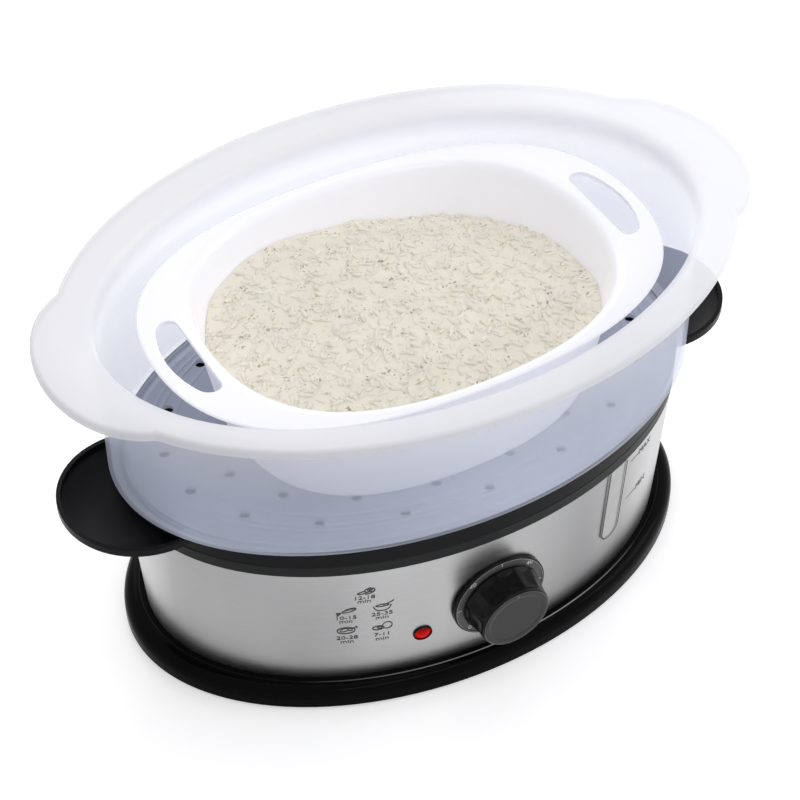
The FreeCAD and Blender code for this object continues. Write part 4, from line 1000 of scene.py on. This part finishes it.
def make_heap():
    """Closed heap under the top grains, that meets the wall at an uneven height."""
    a, b = wall_reach(RICE_PLANE)
    heel = [(88.0, 65.0, 117.0), (92.0, 69.0, 119.0), RICE_LOW]
    wall = [(*wall_reach(z), z) for z in RICE_WALL_ROWS]
    top = [(a * share, b * share, RICE_PLANE) for share in RICE_TOP_SHARES]
    heap = oval_stack("rice_heap", heel + wall + top, BOWL_FULLNESS)
    for vertex in heap.data.vertices:
        x, y, z = vertex.co / MM
        if z > RICE_PLANE - 1:
            height, reach = rice_height(x, y)
            vertex.co.z = height * MM
            if reach > 0.99:
                wall_a, wall_b = wall_reach(height)
                vertex.co.x *= wall_a / a
                vertex.co.y *= wall_b / b
    set_tone(heap.data, 0.5)
    smooth(heap, 80.0)
    dress(heap, "rice_depth", "rice_bowl", ("cooked_rice",))


def make_rice():
    """Heap of boiled rice with loose grains scattered over its top, the same at each run."""
    make_heap()
    grain = make_grain()
    draw = random.Random(7)
    grains = []
    a, b = wall_reach(RICE_PLANE)
    for i in range(int(2 * a / GRAIN_PITCH) + 1):
        for j in range(int(2 * b / GRAIN_PITCH) + 1):
            x = -a + i * GRAIN_PITCH + draw.uniform(-GRAIN_WANDER, GRAIN_WANDER)
            y = -b + j * GRAIN_PITCH + draw.uniform(-GRAIN_WANDER, GRAIN_WANDER)
            z, reach = rice_height(x, y)
            yaw, roll = draw.uniform(0, 2 * math.pi), draw.uniform(0, 2 * math.pi)
            tilt = draw.gauss(0, GRAIN_TILT)
            size, tone, lift = draw.uniform(*GRAIN_SIZES), draw.random(), draw.uniform(*GRAIN_LIFTS)
            if reach > GRAIN_REACH:
                continue
            mesh = grain.data.copy()
            mesh.transform(
                Matrix.Translation(Vector((x, y, z + lift)) * MM)
                @ Matrix.Rotation(yaw, 4, "Z") @ Matrix.Rotation(tilt, 4, "Y")
                @ Matrix.Rotation(roll, 4, "X") @ Matrix.Scale(size, 4))
            set_tone(mesh, tone)
            piece = bpy.data.objects.new("grain", mesh)
            bpy.context.scene.collection.objects.link(piece)
            grains.append(piece)
    bpy.data.objects.remove(grain)
    rice = join("rice_grains", grains)
    smooth(rice, 80.0)
    dress(rice, "rice_grain", "rice_bowl")


# ---- pieces out of sight --------------------------------------------------------------
def dress_the_rest():
    """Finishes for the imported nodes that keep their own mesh."""
    slots = {row["node"]: row["material_slot"] for row in frame["record"]["subparts"]}
    for name, node in frame["nodes"].items():
        if not node.hide_render:
            node.data.materials.clear()
            node.data.materials.append(FINISHES[slots[name]])


# ---- studio ---------------------------------------------------------------------------
LAMPS = (                              # name, place, what it points at, width, height, watts
    ("top_softbox", (0.1, 0.1, 1.5), (0, 0, 0.1), 1.6, 1.3, 7.5),
    ("back_softbox", (0.2, 1.6, 0.9), (0, 0, 0.1), 1.4, 1.0, 6.5),
    ("right_softbox", (1.4, -0.6, 0.8), (0, 0, 0.1), 0.9, 0.9, 5.5),
    ("front_strip", (-0.1, -1.3, 0.8), (0, 0, 0.05), 0.9, 0.08, 2.2),
)
ROOM_LEVEL = 0.42                      # light that the room throws on the object; 1 shows as white


def add_lamp(name, place, target, width, height, power):
    light = bpy.data.lights.new(name, "AREA")
    light.shape = "RECTANGLE"
    light.size = width
    light.size_y = height
    light.energy = power
    lamp = bpy.data.objects.new(name, light)
    bpy.context.scene.collection.objects.link(lamp)
    aim = (Vector(target) - Vector(place)).to_track_quat("-Z", "Y").to_matrix().to_4x4()
    lamp.matrix_world = Matrix.Translation(Vector(place)) @ aim


def add_room():
    """Even light from all round, that shows white to the eye, in mirrors and through clear parts."""
    world = bpy.data.worlds.new("studio")
    bpy.context.scene.world = world
    world.use_nodes = True
    nodes, links = world.node_tree.nodes, world.node_tree.links
    sky = next(n for n in nodes if n.type == "BACKGROUND")
    sky.inputs["Color"].default_value = colour(1.0, 1.0, 1.0)
    path = nodes.new("ShaderNodeLightPath")
    seen = path.outputs["Is Camera Ray"]
    for ray in ("Is Glossy Ray", "Is Transmission Ray"):
        either = nodes.new("ShaderNodeMath")
        either.operation = "MAXIMUM"
        links.new(seen, either.inputs[0])
        links.new(path.outputs[ray], either.inputs[1])
        seen = either.outputs[0]
    level = nodes.new("ShaderNodeMapRange")
    level.inputs["To Min"].default_value = ROOM_LEVEL
    level.inputs["To Max"].default_value = 1.0
    links.new(seen, level.inputs["Value"])
    links.new(level.outputs["Result"], sky.inputs["Strength"])


def add_studio():
    bpy.ops.object.select_all(action="DESELECT")
    bpy.ops.mesh.primitive_plane_add(size=8.0, location=(0, 0, 0))
    floor = bpy.context.object
    floor.name = "studio_floor"
    floor.data.materials.append(studio_floor())
    for lamp in LAMPS:
        add_lamp(*lamp)
    add_room()


add_camera()
add_studio()
make_base()
make_tray()
make_basket()
make_bowl()
make_dial()
make_knob()
make_lamp()
make_prints()
make_rice()
dress_the_rest()
bpy.context.scene.view_settings.view_transform = "Standard"
